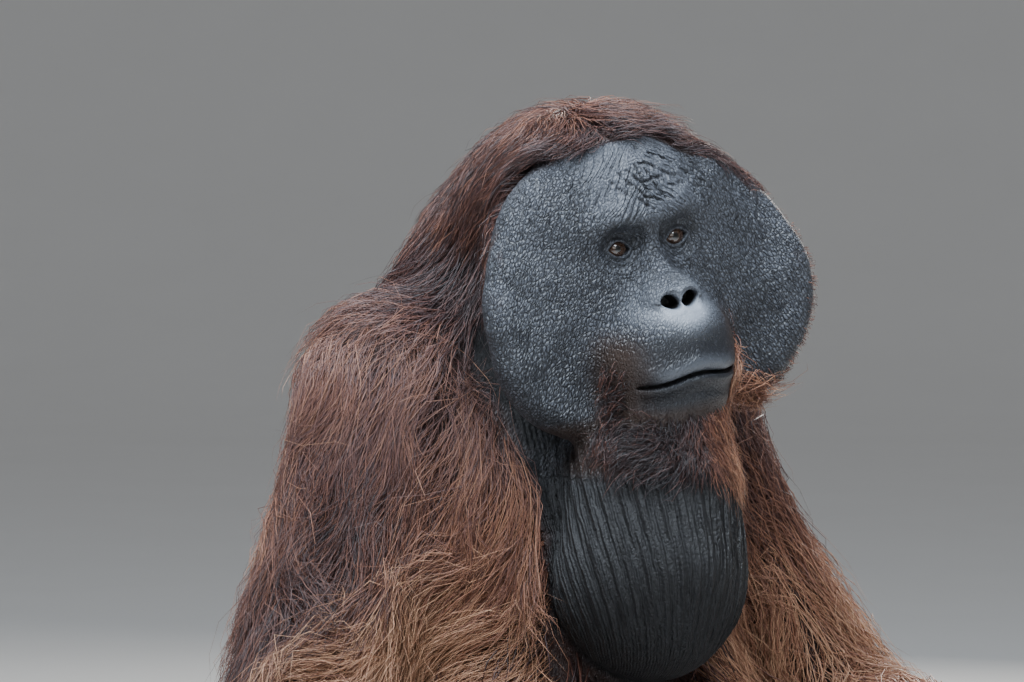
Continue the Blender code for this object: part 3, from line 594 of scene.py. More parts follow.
class Wire:
    # one output of a node, so that shader maths reads as an expression
    def __init__(self, tree, socket=None):
        self.tree = tree
        self.socket = socket

    def add(self, kind, settings, links, out=0):
        # a node of this kind, its settings first, then the values or links of its inputs
        node = self.tree.nodes.new(kind)
        for name, value in settings.items():
            setattr(node, name, value)
        plug(node, links)
        return Wire(self.tree, node.outputs[out])

    def maths(self, operation, *values):
        return self.add("ShaderNodeMath", {"operation": operation}, dict(enumerate(values)))

    def __add__(self, other):
        return self.maths("ADD", self, other)

    def __sub__(self, other):
        return self.maths("SUBTRACT", self, other)

    def __rsub__(self, other):
        return self.maths("SUBTRACT", other, self)

    def __mul__(self, other):
        return self.maths("MULTIPLY", self, other)

    def clamped(self, low, high):
        # 0 at low and 1 at high, straight between them
        return self.add("ShaderNodeMapRange", {}, {0: self, 1: low, 2: high, 3: 0.0, 4: 1.0})

    def mix(self, factor, a, b):
        return self.add("ShaderNodeMix", {"data_type": "RGBA"}, {0: factor, 6: a, 7: b}, out=2)

    def attribute(self, name, out=2):
        return self.add("ShaderNodeAttribute", {"attribute_name": name}, {}, out)

    def noise(self, vector, scale, detail=3.0, rough=0.55):
        links = {"Vector": vector, "Scale": scale, "Detail": detail, "Roughness": rough}
        return self.add("ShaderNodeTexNoise", {}, links)

    def toCellEdge(self, vector, scale):
        return self.add("ShaderNodeTexVoronoi", {"feature": "DISTANCE_TO_EDGE"}, {"Vector": vector, "Scale": scale})

    def bump(self, height, strength, distance):
        return self.add("ShaderNodeBump", {}, {"Height": height, "Strength": strength, "Distance": distance})


def newMaterial(name):
    made = bpy.data.materials.new(name)
    made.use_nodes = True
    shader = made.node_tree.nodes["Principled BSDF"]
    return made, shader, Wire(made.node_tree)


def bareThroat(points):
    # 1 on the bare front of the neck and chest about the sac
    x, y, z = points.T
    wide = 0.070 + 0.016 * ease(z, 0.52, 0.62) + 0.020 * ease(z, 0.63, 0.70)
    return ease(wide - np.abs(x), 0, 0.008) * ease(-y, -0.020, 0.0) * ease(z, 0.462, 0.480) * ease(-z, -0.78, -0.75)


def hairline(x):
    # its height over the forehead, from the middle out to the cheek pads, a little lower on the left
    return 0.087 - 2.2 * x ** 2 - 25 * np.maximum(np.abs(x) - 0.09, 0) ** 2 - 0.016 * ease(x, 0.02, 0.06)


def bareFace(local):
    # 1 on the bare face: before the hairline and on the fronts of the cheek pads
    x, y, z = local.T
    s = np.abs(x)
    front = ease(-y, -0.062, -0.040) * ease(z, -0.19, -0.17) * ease(-s, -0.2, -0.19)
    front = np.maximum(front, ease(0.004 - padDistance(x, y, z), 0, 0.004) * ease(-y, -0.052, -0.040))
    rim = ease(0.004 - padDistance(x, y, z), 0, 0.003) * ease(s, 0.112, 0.124) * ease(-y, -0.034, -0.026)
    return np.maximum(front * ease(hairline(x) - z, -0.003, 0.003), rim)


def markSkin(obj):
    # masks of the skin, one number at each point, and the places that its patterns follow
    points = pointsOf(obj.data)
    local = toHead(points)
    x, y, z = local.T
    s = np.abs(x)
    inFace = bareFace(local)
    sac = np.maximum(ease(0.012 - formsDistance(points, sacForms), 0, 0.010), bareThroat(points)) * (1 - inFace)
    nose = bell(np.hypot(s / 0.036, (z + 0.054) / 0.0215), 1.0) ** 2 * ease(-y, 0.0, 0.015)
    lips = bell(z - mouthLine(x) - 0.006, 0.006) * ease(0.046 - s, 0, 0.02) * ease(-y, -0.01, 0.0)
    muzzle = ease(-z, 0.064, 0.084) * ease(0.066 - s, 0, 0.016) * ease(-y, -0.02, 0.0)
    eyes = bell(np.hypot(s - face["eye"][0], z) / 0.024, 1.0)
    lids = bell(lidGap(s, z) - 0.0020, 0.0015) * (eyes > 0.3)
    brow = ease(z, 0.014, 0.030) * ease(0.062 - s, 0, 0.025)
    flat = np.maximum(np.maximum(0.55 * muzzle, 0.75 * eyes), 0.45 * brow)
    # painted shading: darker on the muzzle and round the eyes as painted shade, lighter on the brow as painted top
    # light, and lighter along the edges of the lids
    dark = np.maximum(1.1 * muzzle, 0.35 * eyes) * ease(-nose, -0.5, -0.1) - 0.95 * brow - 1.1 * lids
    cracks = np.clip(browCracks(x, z) / 0.0022, 0, 1) * (y < 0.03)
    gloss = bell(np.hypot(points[:, 0] - 0.062, points[:, 2] - 0.550) / 0.040, 1.0)
    # the flanks of the muzzle and the underside of the chin take a warm brown, darkened as painted shade
    flank = bell((s - 0.056) / 0.014, 1.0) * ease(-z, 0.055, 0.085) * ease(-y, -0.020, -0.005)
    chin = ease(-z, 0.128, 0.140) * ease(-y, -0.05, -0.02)
    marks = {
        "headPlace": local,
        "grain": np.stack([s * 0.86 + z * 0.50, y, (s * 0.50 - z * 0.86) * 0.50], 1),
        "faceMask": inFace,
        "pawMask": ease(0.010 - pawDistance(toLeft(points)), 0, 0.012),
        "sacMask": sac,
        # smoother skin on the nose pad and lips, also painted pale there as painted highlight
        "smoothAndHighlightMask": np.clip(nose * 1.3 + lips * 0.45, 0, 1),
        "flatMask": np.maximum(flat, 0.7 * sac * ease(points[:, 2], 0.46, 0.50)),    # where the pebbles are flatter
        # painted shade: the shading above, and darker on the lower face and pads and in the forehead's cracks
        "shadeMask": (dark + 0.45 * ease(-z, 0.04, 0.13) + 1.6 * cracks) * inFace,
        "foldLine": np.where(inFace > 0.5, browFan(x, z) * turnOnce / face["browLine"], throatTurn(points) * 200),
        "foldMask": np.maximum(0.6 * brow * inFace, sac),
        "dullMask": sac * (1 - 1.8 * gloss),
        "warmShadeMask": np.clip(flank + 0.8 * chin, 0, 1) * inFace,
    }
    for name, values in marks.items():
        setAttribute(obj.data, name, values)


markSkin(skinPiece)
fleshNodes = [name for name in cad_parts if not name.startswith("eye")]
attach(skinPiece, "root")
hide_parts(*fleshNodes)

skinLook = {
    "slate": (0.010, 0.011, 0.015, 1),
    "slatePale": (0.078, 0.085, 0.103, 1),
    # pale as painted highlight on the nose pad and lips, where the light from above is reflected
    "noseHighlight": (0.185, 0.203, 0.238, 1),
    # warm brown of fine hair on the flanks of the muzzle and under the chin, darkened as painted shade
    "warmShade": (0.030, 0.016, 0.011, 1),
    # the throat's own dark skin, made darker still as painted shade under the chin
    "sac": (0.0022, 0.0020, 0.0026, 1),
    "sacPale": (0.0095, 0.0092, 0.0112, 1),
    "paw": (0.016, 0.014, 0.014, 1),
    "pawPale": (0.040, 0.036, 0.036, 1),
    "underCoat": (0.034, 0.013, 0.009, 1),
    "underTop": (0.034, 0.022, 0.021, 1),
    # near black as painted shade in the sunk hollows: between the lids, in the nostrils and along the mouth
    "hollow": (0.004, 0.0035, 0.0035, 1),
}


def skinMaterial():
    made, shader, w = newMaterial("orangutanSkin")
    place3, grain = w.attribute("headPlace", 1), w.attribute("grain", 1)
    faceMask, sacMask, pawMask = w.attribute("faceMask"), w.attribute("sacMask"), w.attribute("pawMask")
    smoothAndHighlight, flat = w.attribute("smoothAndHighlightMask"), w.attribute("flatMask")
    # pebbles: grooves between stretched cells, bent by noise, over a coarser net of the same
    bend = w.add("ShaderNodeTexNoise", {}, {"Vector": grain, "Scale": 120.0, "Detail": 2.0}, out=1)
    grain = w.add("ShaderNodeVectorMath", {"operation": "MULTIPLY_ADD"}, {0: bend, 1: (0.0024,) * 3, 2: grain})
    blotch = w.noise(place3, 26.0, 4.0, 0.6)
    fine = w.noise(place3, 420.0, 3.0, 0.6)
    pebbles = w.toCellEdge(grain, 420.0).clamped(0.0, 0.30)
    coarse = w.toCellEdge(grain, 150.0).clamped(0.0, 0.12)
    folds = w.maths("SINE", w.attribute("foldLine") + w.noise(place3, 70.0, 2.0) * 7.0) * 0.5 + fine
    grooves = pebbles * 0.75 + coarse * 0.25
    # the tone is darker in the grooves between the pebbles as painted shade, and darker or lighter by the painted
    # shading of the face
    tone = (blotch * 0.8 + fine * 0.35 + grooves * 1.20 - 0.80 - w.attribute("shadeMask") * 0.45).clamped(0.05, 0.95)
    # the nose pad and lips painted pale as painted highlight
    slate = w.mix(smoothAndHighlight, w.mix(tone, skinLook["slate"], skinLook["slatePale"]), skinLook["noseHighlight"])
    # warm brown darkened as painted shade on the muzzle's flanks and under the chin
    slate = w.mix(w.attribute("warmShadeMask"), slate, skinLook["warmShade"])
    # the throat and sac in their dark skin, darkened further as painted shade under the chin
    color = w.mix(sacMask, slate, w.mix(tone, skinLook["sac"], skinLook["sacPale"]))
    color = w.mix(pawMask, color, w.mix(tone, skinLook["paw"], skinLook["pawPale"]))
    bare = (faceMask + sacMask + pawMask).clamped(0.0, 1.0)
    color = w.mix(bare, w.mix(blotch.clamped(0.35, 0.75), skinLook["underCoat"], skinLook["underTop"]), color)
    # near black in the sunk hollows as painted shade
    color = w.mix(w.attribute("hollow").clamped(0.001, 0.006), color, skinLook["hollow"])
    rough = blotch * 0.20 + fine * 0.10 + 0.35 - smoothAndHighlight * 0.06 + w.attribute("dullMask") * 0.22
    kept = (1.0 - smoothAndHighlight * 0.92) * (1.0 - flat)
    height = w.maths("MULTIPLY_ADD", pebbles, kept, fine * 0.30) + coarse * 0.45 * kept
    height = height + folds * w.attribute("foldMask") * 1.1
    plug(shader, {"Base Color": color, "Roughness": rough, "Normal": w.bump(height, 1.0, 0.00090),
                  "Specular IOR Level": 0.5})
    return made


skinPiece.data.materials.append(skinMaterial())
print("skin finished")


# eyes: a ball with a clear swelling over the iris
eyeLook = {
    "radius": 0.0122,
    "irisRadius": 0.0068,
    "pupilRadius": 0.0027,
    "corneaBulge": 0.0011,
    "gaze": (-0.10, -0.06),     # turn of the gaze to the animal's right and up, in radians
    "rings": 47,
    "around": 64,
}


def makeEyes():
    # a ball in rings about the gaze: the angle a runs from the pupil to the back, and the radius swells by a bell
    rings, around, radius = eyeLook["rings"], eyeLook["around"], eyeLook["radius"]
    a = np.linspace(0, math.pi, rings + 2)[1:-1]
    b = np.linspace(0, 2 * math.pi, around, endpoint=False)
    rise = eyeLook["corneaBulge"] * bell(a, 0.50) ** 2
    ring = np.stack([np.sin(a)[:, None] * np.cos(b), -np.cos(a)[:, None] * np.ones(around),
                     np.sin(a)[:, None] * np.sin(b)], -1)
    ball = (ring * (radius + rise)[:, None, None]).reshape(-1, 3)
    ball = np.vstack([ball, (0, -radius - eyeLook["corneaBulge"], 0), (0, radius, 0)])
    quads = ringFaces(rings, around)
    j = np.arange(around)
    k = (j + 1) % around
    front, back = np.full(around, len(ball) - 2), np.full(around, len(ball) - 1)
    end = (rings - 1) * around
    faces = np.vstack([quads[:, [0, 1, 2]], quads[:, [0, 2, 3]], np.stack([front, j, k], 1),
                       np.stack([back, end + k, end + j], 1)])
    aim = np.array(Matrix.Rotation(eyeLook["gaze"][0], 3, "Z") @ Matrix.Rotation(eyeLook["gaze"][1], 3, "X"))
    for name, side in (("left", 1), ("right", -1)):
        centre = np.array(face["eye"]) * (side, 1, 1)
        obj = makeMesh("eyeball_" + name, fromHead(ball @ aim.T + centre), faces)
        setAttribute(obj.data, "irisPlace", ball / radius)
        obj.data.materials.append(bpy.data.materials.get("orangutanEye") or eyeMaterial())
        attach(obj, "root")
        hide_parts("eye_" + name)


def eyeMaterial():
    made, shader, w = newMaterial("orangutanEye")
    parts = w.attribute("irisPlace", 1)
    flat = w.add("ShaderNodeVectorMath", {"operation": "MULTIPLY"}, {0: parts, 1: (1.0, 0.0, 1.0)})
    out = w.add("ShaderNodeVectorMath", {"operation": "LENGTH"}, {0: flat}, out=1)
    streaks = w.noise(flat, 14.0, 4.0, 0.7)
    iris = w.mix((streaks * 1.6 - 0.3).clamped(0.0, 1.0), (0.016, 0.008, 0.005, 1), (0.080, 0.038, 0.019, 1))
    edge = eyeLook["irisRadius"] / eyeLook["radius"]
    pupil = eyeLook["pupilRadius"] / eyeLook["radius"]
    white = w.mix(w.noise(parts, 6.0, 3.0, 0.6), (0.060, 0.038, 0.030, 1), (0.17, 0.115, 0.090, 1))
    color = w.mix(out.clamped(edge - 0.03, edge + 0.03), iris, white)
    color = w.mix(out.clamped(pupil - 0.02, pupil + 0.03), (0.002, 0.002, 0.002, 1), color)
    plug(shader, {"Base Color": color, "Roughness": 0.06, "Coat Weight": 1.0, "Coat Roughness": 0.02})
    return made


makeEyes()
print("eyes made")


# coat: every strand is a thin, tapered, three-sided lock that lies over the skin
draw = np.random.default_rng(5)
fieldStep = skin["grid"]
fieldStack = np.stack([fieldValues, *np.gradient(fieldValues, fieldStep)], -1)


def unit(vectors):
    return vectors / np.maximum(np.linalg.norm(vectors, axis=-1, keepdims=True), 1e-9)


def fieldAt(points):
    # distance from the skin and its direction, from the eight nearest points of the coarse net
    spot = (points - [axis[0] for axis in fieldAxes]) / fieldStep
    corner = np.clip(np.floor(spot).astype(int), 0, np.array(fieldValues.shape) - 2)
    t = np.clip(spot - corner, 0, 1)
    total = np.zeros((len(points), 4))
    for i, j, k in np.ndindex(2, 2, 2):
        share = np.abs(1 - i - t[:, 0]) * np.abs(1 - j - t[:, 1]) * np.abs(1 - k - t[:, 2])
        total += share[:, None] * fieldStack[corner[:, 0] + i, corner[:, 1] + j, corner[:, 2] + k]
    return total[:, 0], unit(total[:, 1:])


trunk, upperArm, foreArm, thigh, shin, paw, sac, skull, snout, pad = range(10)


def skinTriangles():
    # corners, centres and areas of the skin's triangles, and the nearest part of the body
    mesh = skinPiece.data
    corners = np.empty(len(mesh.loop_triangles) * 3, np.int32)
    mesh.loop_triangles.foreach_get("vertices", corners)
    corners = pointsOf(mesh)[corners.reshape(-1, 3)]
    centre = corners.mean(1)
    area = np.linalg.norm(np.cross(corners[:, 1] - corners[:, 0], corners[:, 2] - corners[:, 0]), axis=1) / 2
    half, local = toLeft(centre), toHead(centre)
    halfLocal = toLeft(local)
    reach = np.stack([
        formsDistance(half, trunkForms) + coreDepth, formsDistance(half, armForms[:1]),
        formsDistance(half, armForms[1:]), formsDistance(half, legForms[:1]), formsDistance(half, legForms[1:]),
        pawDistance(half) - 0.003,
        formsDistance(centre, sacForms) - 0.002, formsDistance(halfLocal, skullForms),
        formsDistance(halfLocal, snoutForms), padDistance(*local.T) - 0.004,
    ], 1)
    return {"corners": corners, "centre": centre, "area": area, "head": local, "part": reach.argmin(1),
            "bare": np.maximum(bareThroat(centre), bareFace(local)), "fromPad": padDistance(*local.T)}


tri = skinTriangles()


def rootsOn(count, density):
    # points drawn over the skin by area times density
    share = tri["area"] * density
    pick = draw.choice(len(share), count, p=share / share.sum())
    a, b = np.sqrt(draw.random(count)), draw.random(count)
    weights = np.stack([1 - a, a * (1 - b), a * b], 1)
    return (tri["corners"][pick] * weights[:, :, None]).sum(1)


def eddies(points, scale, seed):
    # a smooth wandering direction, the mean of three sines of the place for each axis
    chance = np.random.default_rng(seed)
    way, phase = chance.normal(size=(3, 3, 3)) * scale, chance.random((3, 3)) * strand["wholeTurn"]
    return np.stack([np.sin(points @ way[i].T + phase[i]).sum(1) for i in range(3)], 1) / 2


def columns(x, y, z):
    # one vector in each row, from arrays or single numbers
    return np.stack(np.broadcast_arrays(x, y, z), 1)


def valueOf(setting, points):
    # a setting is a number, or a function of the place
    return setting(points) if callable(setting) else setting


coatUsual = {    # what a coat piece has unless its own settings say otherwise; lengths in metres
    "steps": 4, "stray": 0.22, "eddy": 30, "swirl": 0.32, "clump": 12, "gather": 0.5, "wave": 0.005, "rise": 0.5,
    # the last of these settings is how much greyish painted sheen the hair has
    "flyaway": 0.02, "uneven": (0.65, 1.2), "longer": 1.0, "higher": 1.0, "paintedSheen": 0.06,
}
strand = {
    "rootDepth": 0.003,
    "overFloor": 0.006,      # least height of a strand's points before it is gathered, and after
    "overFloorLast": 0.004,
    "outerReach": 0.09,      # past this distance a strand no longer leans to the skin
    "pastBox": 0.012,        # how far a strand may reach out of the solids' box
    "patch": 0.003,          # how wide its patch is in the unwrap
    "eddySeed": 3,
    "toneSpread": 0.03,
    "leadersAtOnce": 2000,
    "wholeTurn": 6.28,
}


def drape(roots, plan):
    # each step goes along the lie, eased down by the droop, then is set at its height over the skin
    steps, count = plan["steps"], len(roots)
    wild = draw.random(count) < plan["flyaway"]
    length = plan["length"] * draw.uniform(*plan["uneven"], count) * valueOf(plan["longer"], roots)
    lift = plan["lift"] * draw.uniform(0.2, 1.15, count) * valueOf(plan["higher"], roots) * np.where(wild, 1.35, 1.0)
    bend = draw.normal(size=(count, 3)) * plan["stray"] * np.where(wild, 1.8, 1.0)[:, None]
    cling = plan["cling"] * np.where(wild, 0.3, 1.0)
    normal = fieldAt(roots)[1]
    here = roots - normal * strand["rootDepth"]
    lines = [here]
    for step in range(1, steps + 1):
        t = step / steps
        way = unit(valueOf(plan["lie"], here)) + bend + eddies(here, plan["eddy"], strand["eddySeed"]) * plan["swirl"]
        way = unit(way - normal * (way * normal).sum(1, keepdims=True))
        way = unit(way + np.array((0, 0, -plan["droop"])) * t + normal * plan["rise"] * (step == 1))
        here = here + way * (length / steps)[:, None]
        wanted = lift * (0.30 + 0.70 * min(1.0, 1.6 * t))
        for _ in range(2):
            height, facing = fieldAt(here)
            near = height < strand["outerReach"]
            short = np.maximum(wanted - height, 0)
            far = np.maximum(height - wanted, 0) * cling * near
            here = here + facing * (short - far)[:, None]
        normal = np.where(near[:, None], facing, normal)
        here[:, 2] = np.maximum(here[:, 2], strand["overFloor"])
        lines.append(here)
    return np.stack(lines, 1), wild


def gather(lines, wild, plan):
    # strands lean towards the nearest leader's line, more and more to their tips, and wave a little
    (count, rings), some = lines.shape[:2], strand["leadersAtOnce"]
    leaders = draw.choice(count, max(4, count // plan["clump"]), replace=False)
    nearest = np.empty(count, int)
    for start in range(0, count, some):
        gap = np.square(lines[start:start + some, None, 0] - lines[None, leaders, 0]).sum(2)
        nearest[start:start + some] = leaders[gap.argmin(1)]
    t = np.linspace(0, 1, rings)[None, :, None]
    pull = plan["gather"] * draw.uniform(0.2, 1.0, count) * np.where(wild, 0.1, 1.0)
    lines = lines + (lines[nearest] - lines) * pull[:, None, None] * t ** 1.2
    phase = draw.random((count, 1, 3)) * strand["wholeTurn"]
    turns = draw.uniform(0.7, 1.7, (count, 1, 1)) * strand["wholeTurn"]
    lines = lines + np.sin(t * turns + phase) * t * plan["wave"] * draw.uniform(0.2, 1.4, (count, 1, 1))
    lines[:, 1:, 2] = np.maximum(lines[:, 1:, 2], strand["overFloorLast"])
    past = strand["pastBox"]
    for low, high, way in zip(*cadBox, range(3)):    # what reaches out of the box is eased back to near it
        over = np.maximum(lines[:, :, way] - high, 0)
        under = np.maximum(low - lines[:, :, way], 0)
        lines[:, :, way] += under - over - past * (np.exp(-over / past) - np.exp(-under / past))
    return lines


def roundUnwrap(points, start, end):
    # angle round the line from start to end, and the way along it, both from 0 to 1
    axis = unit(np.array(end, float) - start)
    first = unit(np.cross(axis, (0.31, 0.87, 0.38)))
    second = np.cross(axis, first)
    local = points - start
    along = local @ axis
    angle = np.arctan2(local @ second, local @ first) / (2 * math.pi) + 0.5
    along = (along - along.min()) / max(np.ptp(along), 1e-6)
    return np.stack([0.01 + angle * 0.98, 0.01 + along * 0.98], 1)


def strandMesh(name, lines, width, marks, unwrap):
    # three corners round each ring of every strand, narrowing to one point at the tip
    count, rings = lines.shape[:2]
    along = unit(np.gradient(lines, axis=1))
    facing = fieldAt(lines[:, 1])[1] + draw.normal(size=(count, 3)) * 0.5
    across = unit(np.cross(along, facing[:, None, :]))
    out = np.cross(across, along)
    taper = np.interp(np.linspace(0, 1, rings), (0, 0.3, 0.7, 1), (0.8, 1.0, 0.7, 0.0))
    wide = (width * draw.uniform(0.6, 1.3, count))[:, None, None] * taper[None, :, None]
    corners = [lines - across * wide * 0.5 - out * wide * 0.22, lines + across * wide * 0.5 - out * wide * 0.22,
               lines + out * wide * 0.40]
    ring = np.stack(corners, 2)[:, :-1]
    points = np.concatenate([ring.reshape(count, -1, 3), lines[:, -1:]], 1)
    each = 3 * (rings - 1) + 1
    faces = [(0, 2, 1)]
    for r, c in np.ndindex(rings - 2, 3):
        a, b = 3 * r + c, 3 * r + (c + 1) % 3
        faces += [(a, b, b + 3), (a, b + 3, a + 3)]
    faces += [(each - 4 + c, each - 4 + (c + 1) % 3, each - 1) for c in range(3)]
    faces = np.array(faces)[None] + (np.arange(count) * each)[:, None, None]
    obj = makeMesh(name, points.reshape(-1, 3), faces.reshape(-1, 3))
    t = np.append(np.repeat(np.arange(rings - 1) / (rings - 1), 3), 1.0)
    side = np.append(np.tile((-1.0, 0.0, 1.0), rings - 1), 0.0)
    chance = np.tile(draw.random((count, 1)), each)
    values = np.stack([np.tile(t, (count, 1)), chance, np.tile(marks[:, :1], each)], -1)
    setAttribute(obj.data, "coat", values.reshape(-1, 3))
    setAttribute(obj.data, "paintedSheen", np.tile(marks[:, 1:2], each).ravel())
    patch = unwrap[:, None, :] + np.stack([side, t * 2 - 1], 1)[None] * (strand["patch"] / 2)
    layer = obj.data.uv_layers.new(name="OFBake")
    layer.data.foreach_set("uv", patch.reshape(-1, 2)[faces.ravel()].astype(np.float32).ravel())
    return obj


coatLook = {
    "stops": [
        (0.0, (0.014, 0.010, 0.012)), (0.25, (0.046, 0.021, 0.020)), (0.5, (0.150, 0.061, 0.043)),
        (0.75, (0.330, 0.148, 0.086)), (1.0, (0.520, 0.290, 0.170)),
    ],
    "paintedSheen": (0.200, 0.140, 0.150, 1),    # greyish painted sheen of the neck and shoulders, standing in for the sky's reflection in the hair
    "rough": 0.42,
}


def coatMaterial():
    made, shader, w = newMaterial("orangutanCoat")
    marks = w.attribute("coat", 1)
    split = w.add("ShaderNodeSeparateXYZ", {}, {0: marks})
    along, chance, tone = (Wire(w.tree, split.socket.node.outputs[i]) for i in range(3))
    value = tone + (chance - 0.5) * 0.54 + (along - 0.50) * 0.28
    color = w.add("ShaderNodeValToRGB", {}, {0: value})
    ramp = color.socket.node.color_ramp.elements
    for at, _ in coatLook["stops"][1:-1]:
        ramp.new(at)
    for element, (_, colour) in zip(ramp, coatLook["stops"]):
        element.color = (*colour, 1)
    # greyish painted sheen, standing in for the sky's reflection, stronger towards the tips
    color = w.mix(w.attribute("paintedSheen") * (along * 0.6 + 0.4), color, coatLook["paintedSheen"])
    plug(shader, {"Base Color": color, "Roughness": coatLook["rough"], "Specular IOR Level": 0.5})
    return made


def growCoat(name, settings):
    plan = {**coatUsual, **settings}
    count = plan["count"] // 1
    roots = rootsOn(count, plan["where"] * (1.0 if plan.get("free") else tri["clear"]))
    lines, wild = drape(roots, plan)
    lines = gather(lines, wild, plan)
    tone = np.clip(valueOf(plan["tone"], roots) + draw.normal(size=count) * strand["toneSpread"], 0, 1)
    paintedSheen = np.clip(valueOf(plan["paintedSheen"], roots) + np.zeros(count), 0, 1)
    width = plan["width"] * 1 * np.where(wild, 0.6, 1)
    obj = strandMesh(name, lines, width, np.stack([tone, paintedSheen], 1), roundUnwrap(roots, *plan["unwrap"]))
    obj.data.materials.append(bpy.data.materials.get("orangutanCoat") or coatMaterial())
    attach(obj, "root")
    print(name, len(obj.data.polygons), "faces")


def paintedSheenAmount(points):
    # how much greyish painted sheen the hair has, standing in for the sky's reflection: at the sides of the neck and
    # more on the tops of the shoulders
    z = points[:, 2]
    return 0.07 + 0.12 * ease(z, 0.58, 0.68) * ease(-z, -0.88, -0.76) + 0.25 * bell(z - 0.69, 0.03)


def onPart(*parts, side=0):
    # 1 on these parts of the body, on one side only if a side is given
    found = np.isin(tri["part"], parts)
    if side:
        found &= tri["centre"][:, 0] * side > 0
    return found.astype(float)


cx, cy, cz = tri["centre"].T
hx, hy, hz = tri["head"].T
hs = np.abs(hx)
onHead = np.isin(tri["part"], (skull, pad, snout)) | (onPart(trunk) > 0) & (cz > 0.70)
overLine = (hz > hairline(hx)) & (hy > np.where(hx > 0.02, -0.006, 0.008))
behindFace = overLine | (hy > 0.046)
tri["clear"] = (tri["bare"] < 0.5) * (cz > 0.004)
crownArea = onHead & behindFace & ((tri["fromPad"] > 0.003) | overLine) & (hz > 0.034)
sideArea = onHead & behindFace & (tri["fromPad"] > 0.003) & (hz <= 0.034) & (cz > 0.70)
chestSide = (tri["part"] == trunk) & (cy <= 0.045) & (cz <= 0.70) & (cz > 0.40) & (np.abs(cx) > 0.06)


whorlBack = 0.085    # how far the crown's whorl lies behind the eyes


def crownLie(points):
    # away from a parting that runs back from the forehead, turned down at the sides and back behind a whorl
    q = toHead(points)
    across = np.clip((q[:, 0] + 0.016) / 0.018, -1, 1)
    front = ease(0.075 - q[:, 1], 0, 0.05)
    whorl = unit(columns(q[:, 0] - (q[:, 1] - whorlBack) * 0.8, q[:, 1] - whorlBack + q[:, 0] * 0.8, 0))
    way = whorl * (1 - front)[:, None] + columns(across, -0.30, 0) * front[:, None]
    side = ease(np.abs(q[:, 0]), 0.030, 0.070)
    way[:, 1] = way[:, 1] * (1 - side) + side * 0.40
    way[:, 2] = -1.4 * (1 - ease(q[:, 2], 0.0, 0.100)) * ease(np.abs(q[:, 0]) + q[:, 1] * 0.3, 0.02, 0.06)
    return way @ headTurn.T


def nearLine(points):
    # 1 at the front hairline, where the hair is darker and has more greyish painted sheen
    x, y, z = toHead(points).T
    return ease(hairline(x) - z, -0.022, -0.002) * ease(-y, -0.055, -0.035)


def napeLie(points):
    return crownLie(points) * 0.4 + columns(points[:, 0] * 3.0, 0.30, -0.8)


def fall(out, back):
    # down, outwards by out and back by back
    return lambda p: columns(p[:, 0] * out, back, -1)


def flip(name, side):
    return place[name] * (side, 1, 1)


def limbLie(start, end, side, lean=(0, 0, 0)):
    return unit(flip(end, side) - flip(start, side)) + np.array(lean) * (side, 1, 1)


def overElbow(points):
    # 1 below a low arch in front of the right elbow, where the forearm's hair sweeps back over it, paler partly in its
    # own colour and partly as painted light from above
    across = points[:, 0] * 0.84 - points[:, 1] * 0.54 + 0.098
    arch = 0.546 - 4.9 * across ** 2 - points[:, 2]
    return ease(arch, -0.012, 0.022) * (points[:, 0] < 0), arch, across


def armTone(points):
    # redder at the shoulder, lighter towards the elbow, with a band of painted shade behind and above the pale hair of
    # the elbow
    x, y, z = points.T
    pale, arch, across = overElbow(points)
    above = arch - 0.30 * np.minimum(across, 0)
    # painted shade: a dark band where the upper arm's hair hangs over the paler hair of the elbow
    dark = 0.36 * ease(above, -0.200, -0.030) * (1 - pale)
    dark = dark * ease(-across, -0.05, 0.08) * ease(-y, -0.13, -0.03) * (x < 0)
    left = -0.15 + 0.42 * ease(-z, -0.60, -0.48)
    return 0.66 - 0.05 * ease(z, 0.58, 0.66) + 0.40 * pale - dark + left * (x > 0)


def upperArmLie(side):
    # down to the elbow, and in front of the right one swept outwards and back
    down = limbLie("shoulder", "elbow", side, (0.0, 0.12, -0.25))

    def lie(points):
        swept = overElbow(points)[0][:, None]
        return down * (1 - swept) + np.array((-0.85, 0.40, -0.48)) * swept

    return lie


def legLie(side):
    # down the thigh and outwards, then down the shin
    upper, lower = limbLie("hip", "knee", side, (0.2, 0.1, -0.7)), limbLie("knee", "ankle", side)
    return lambda p: np.where((p[:, 1] > -0.19)[:, None], upper, lower)


def beardArea():
    # under the chin and up the flanks of the muzzle
    under = ease(-0.134 - hz, 0, 0.012) * ease(hz, -0.185, -0.170) * ease(0.072 - hs, 0, 0.02) * (hy < 0.03)
    flank = ease(hs, 0.048, 0.058) * ease(-0.072 - hz, 0, 0.06) * ease(hz, -0.165, -0.150)
    flank = flank * (hy < 0.010) * (hs < 0.074)
    outer = ease(hx, 0.052, 0.060) * ease(0.104 - hx, 0, 0.02) * ease(-0.118 - hz, 0, 0.02)
    outer = outer * (hy < 0.030) * (hz > -0.17)
    return np.maximum(under, 0.55 * flank) * np.isin(tri["part"], (snout, skull, sac, trunk)) + 0.5 * outer


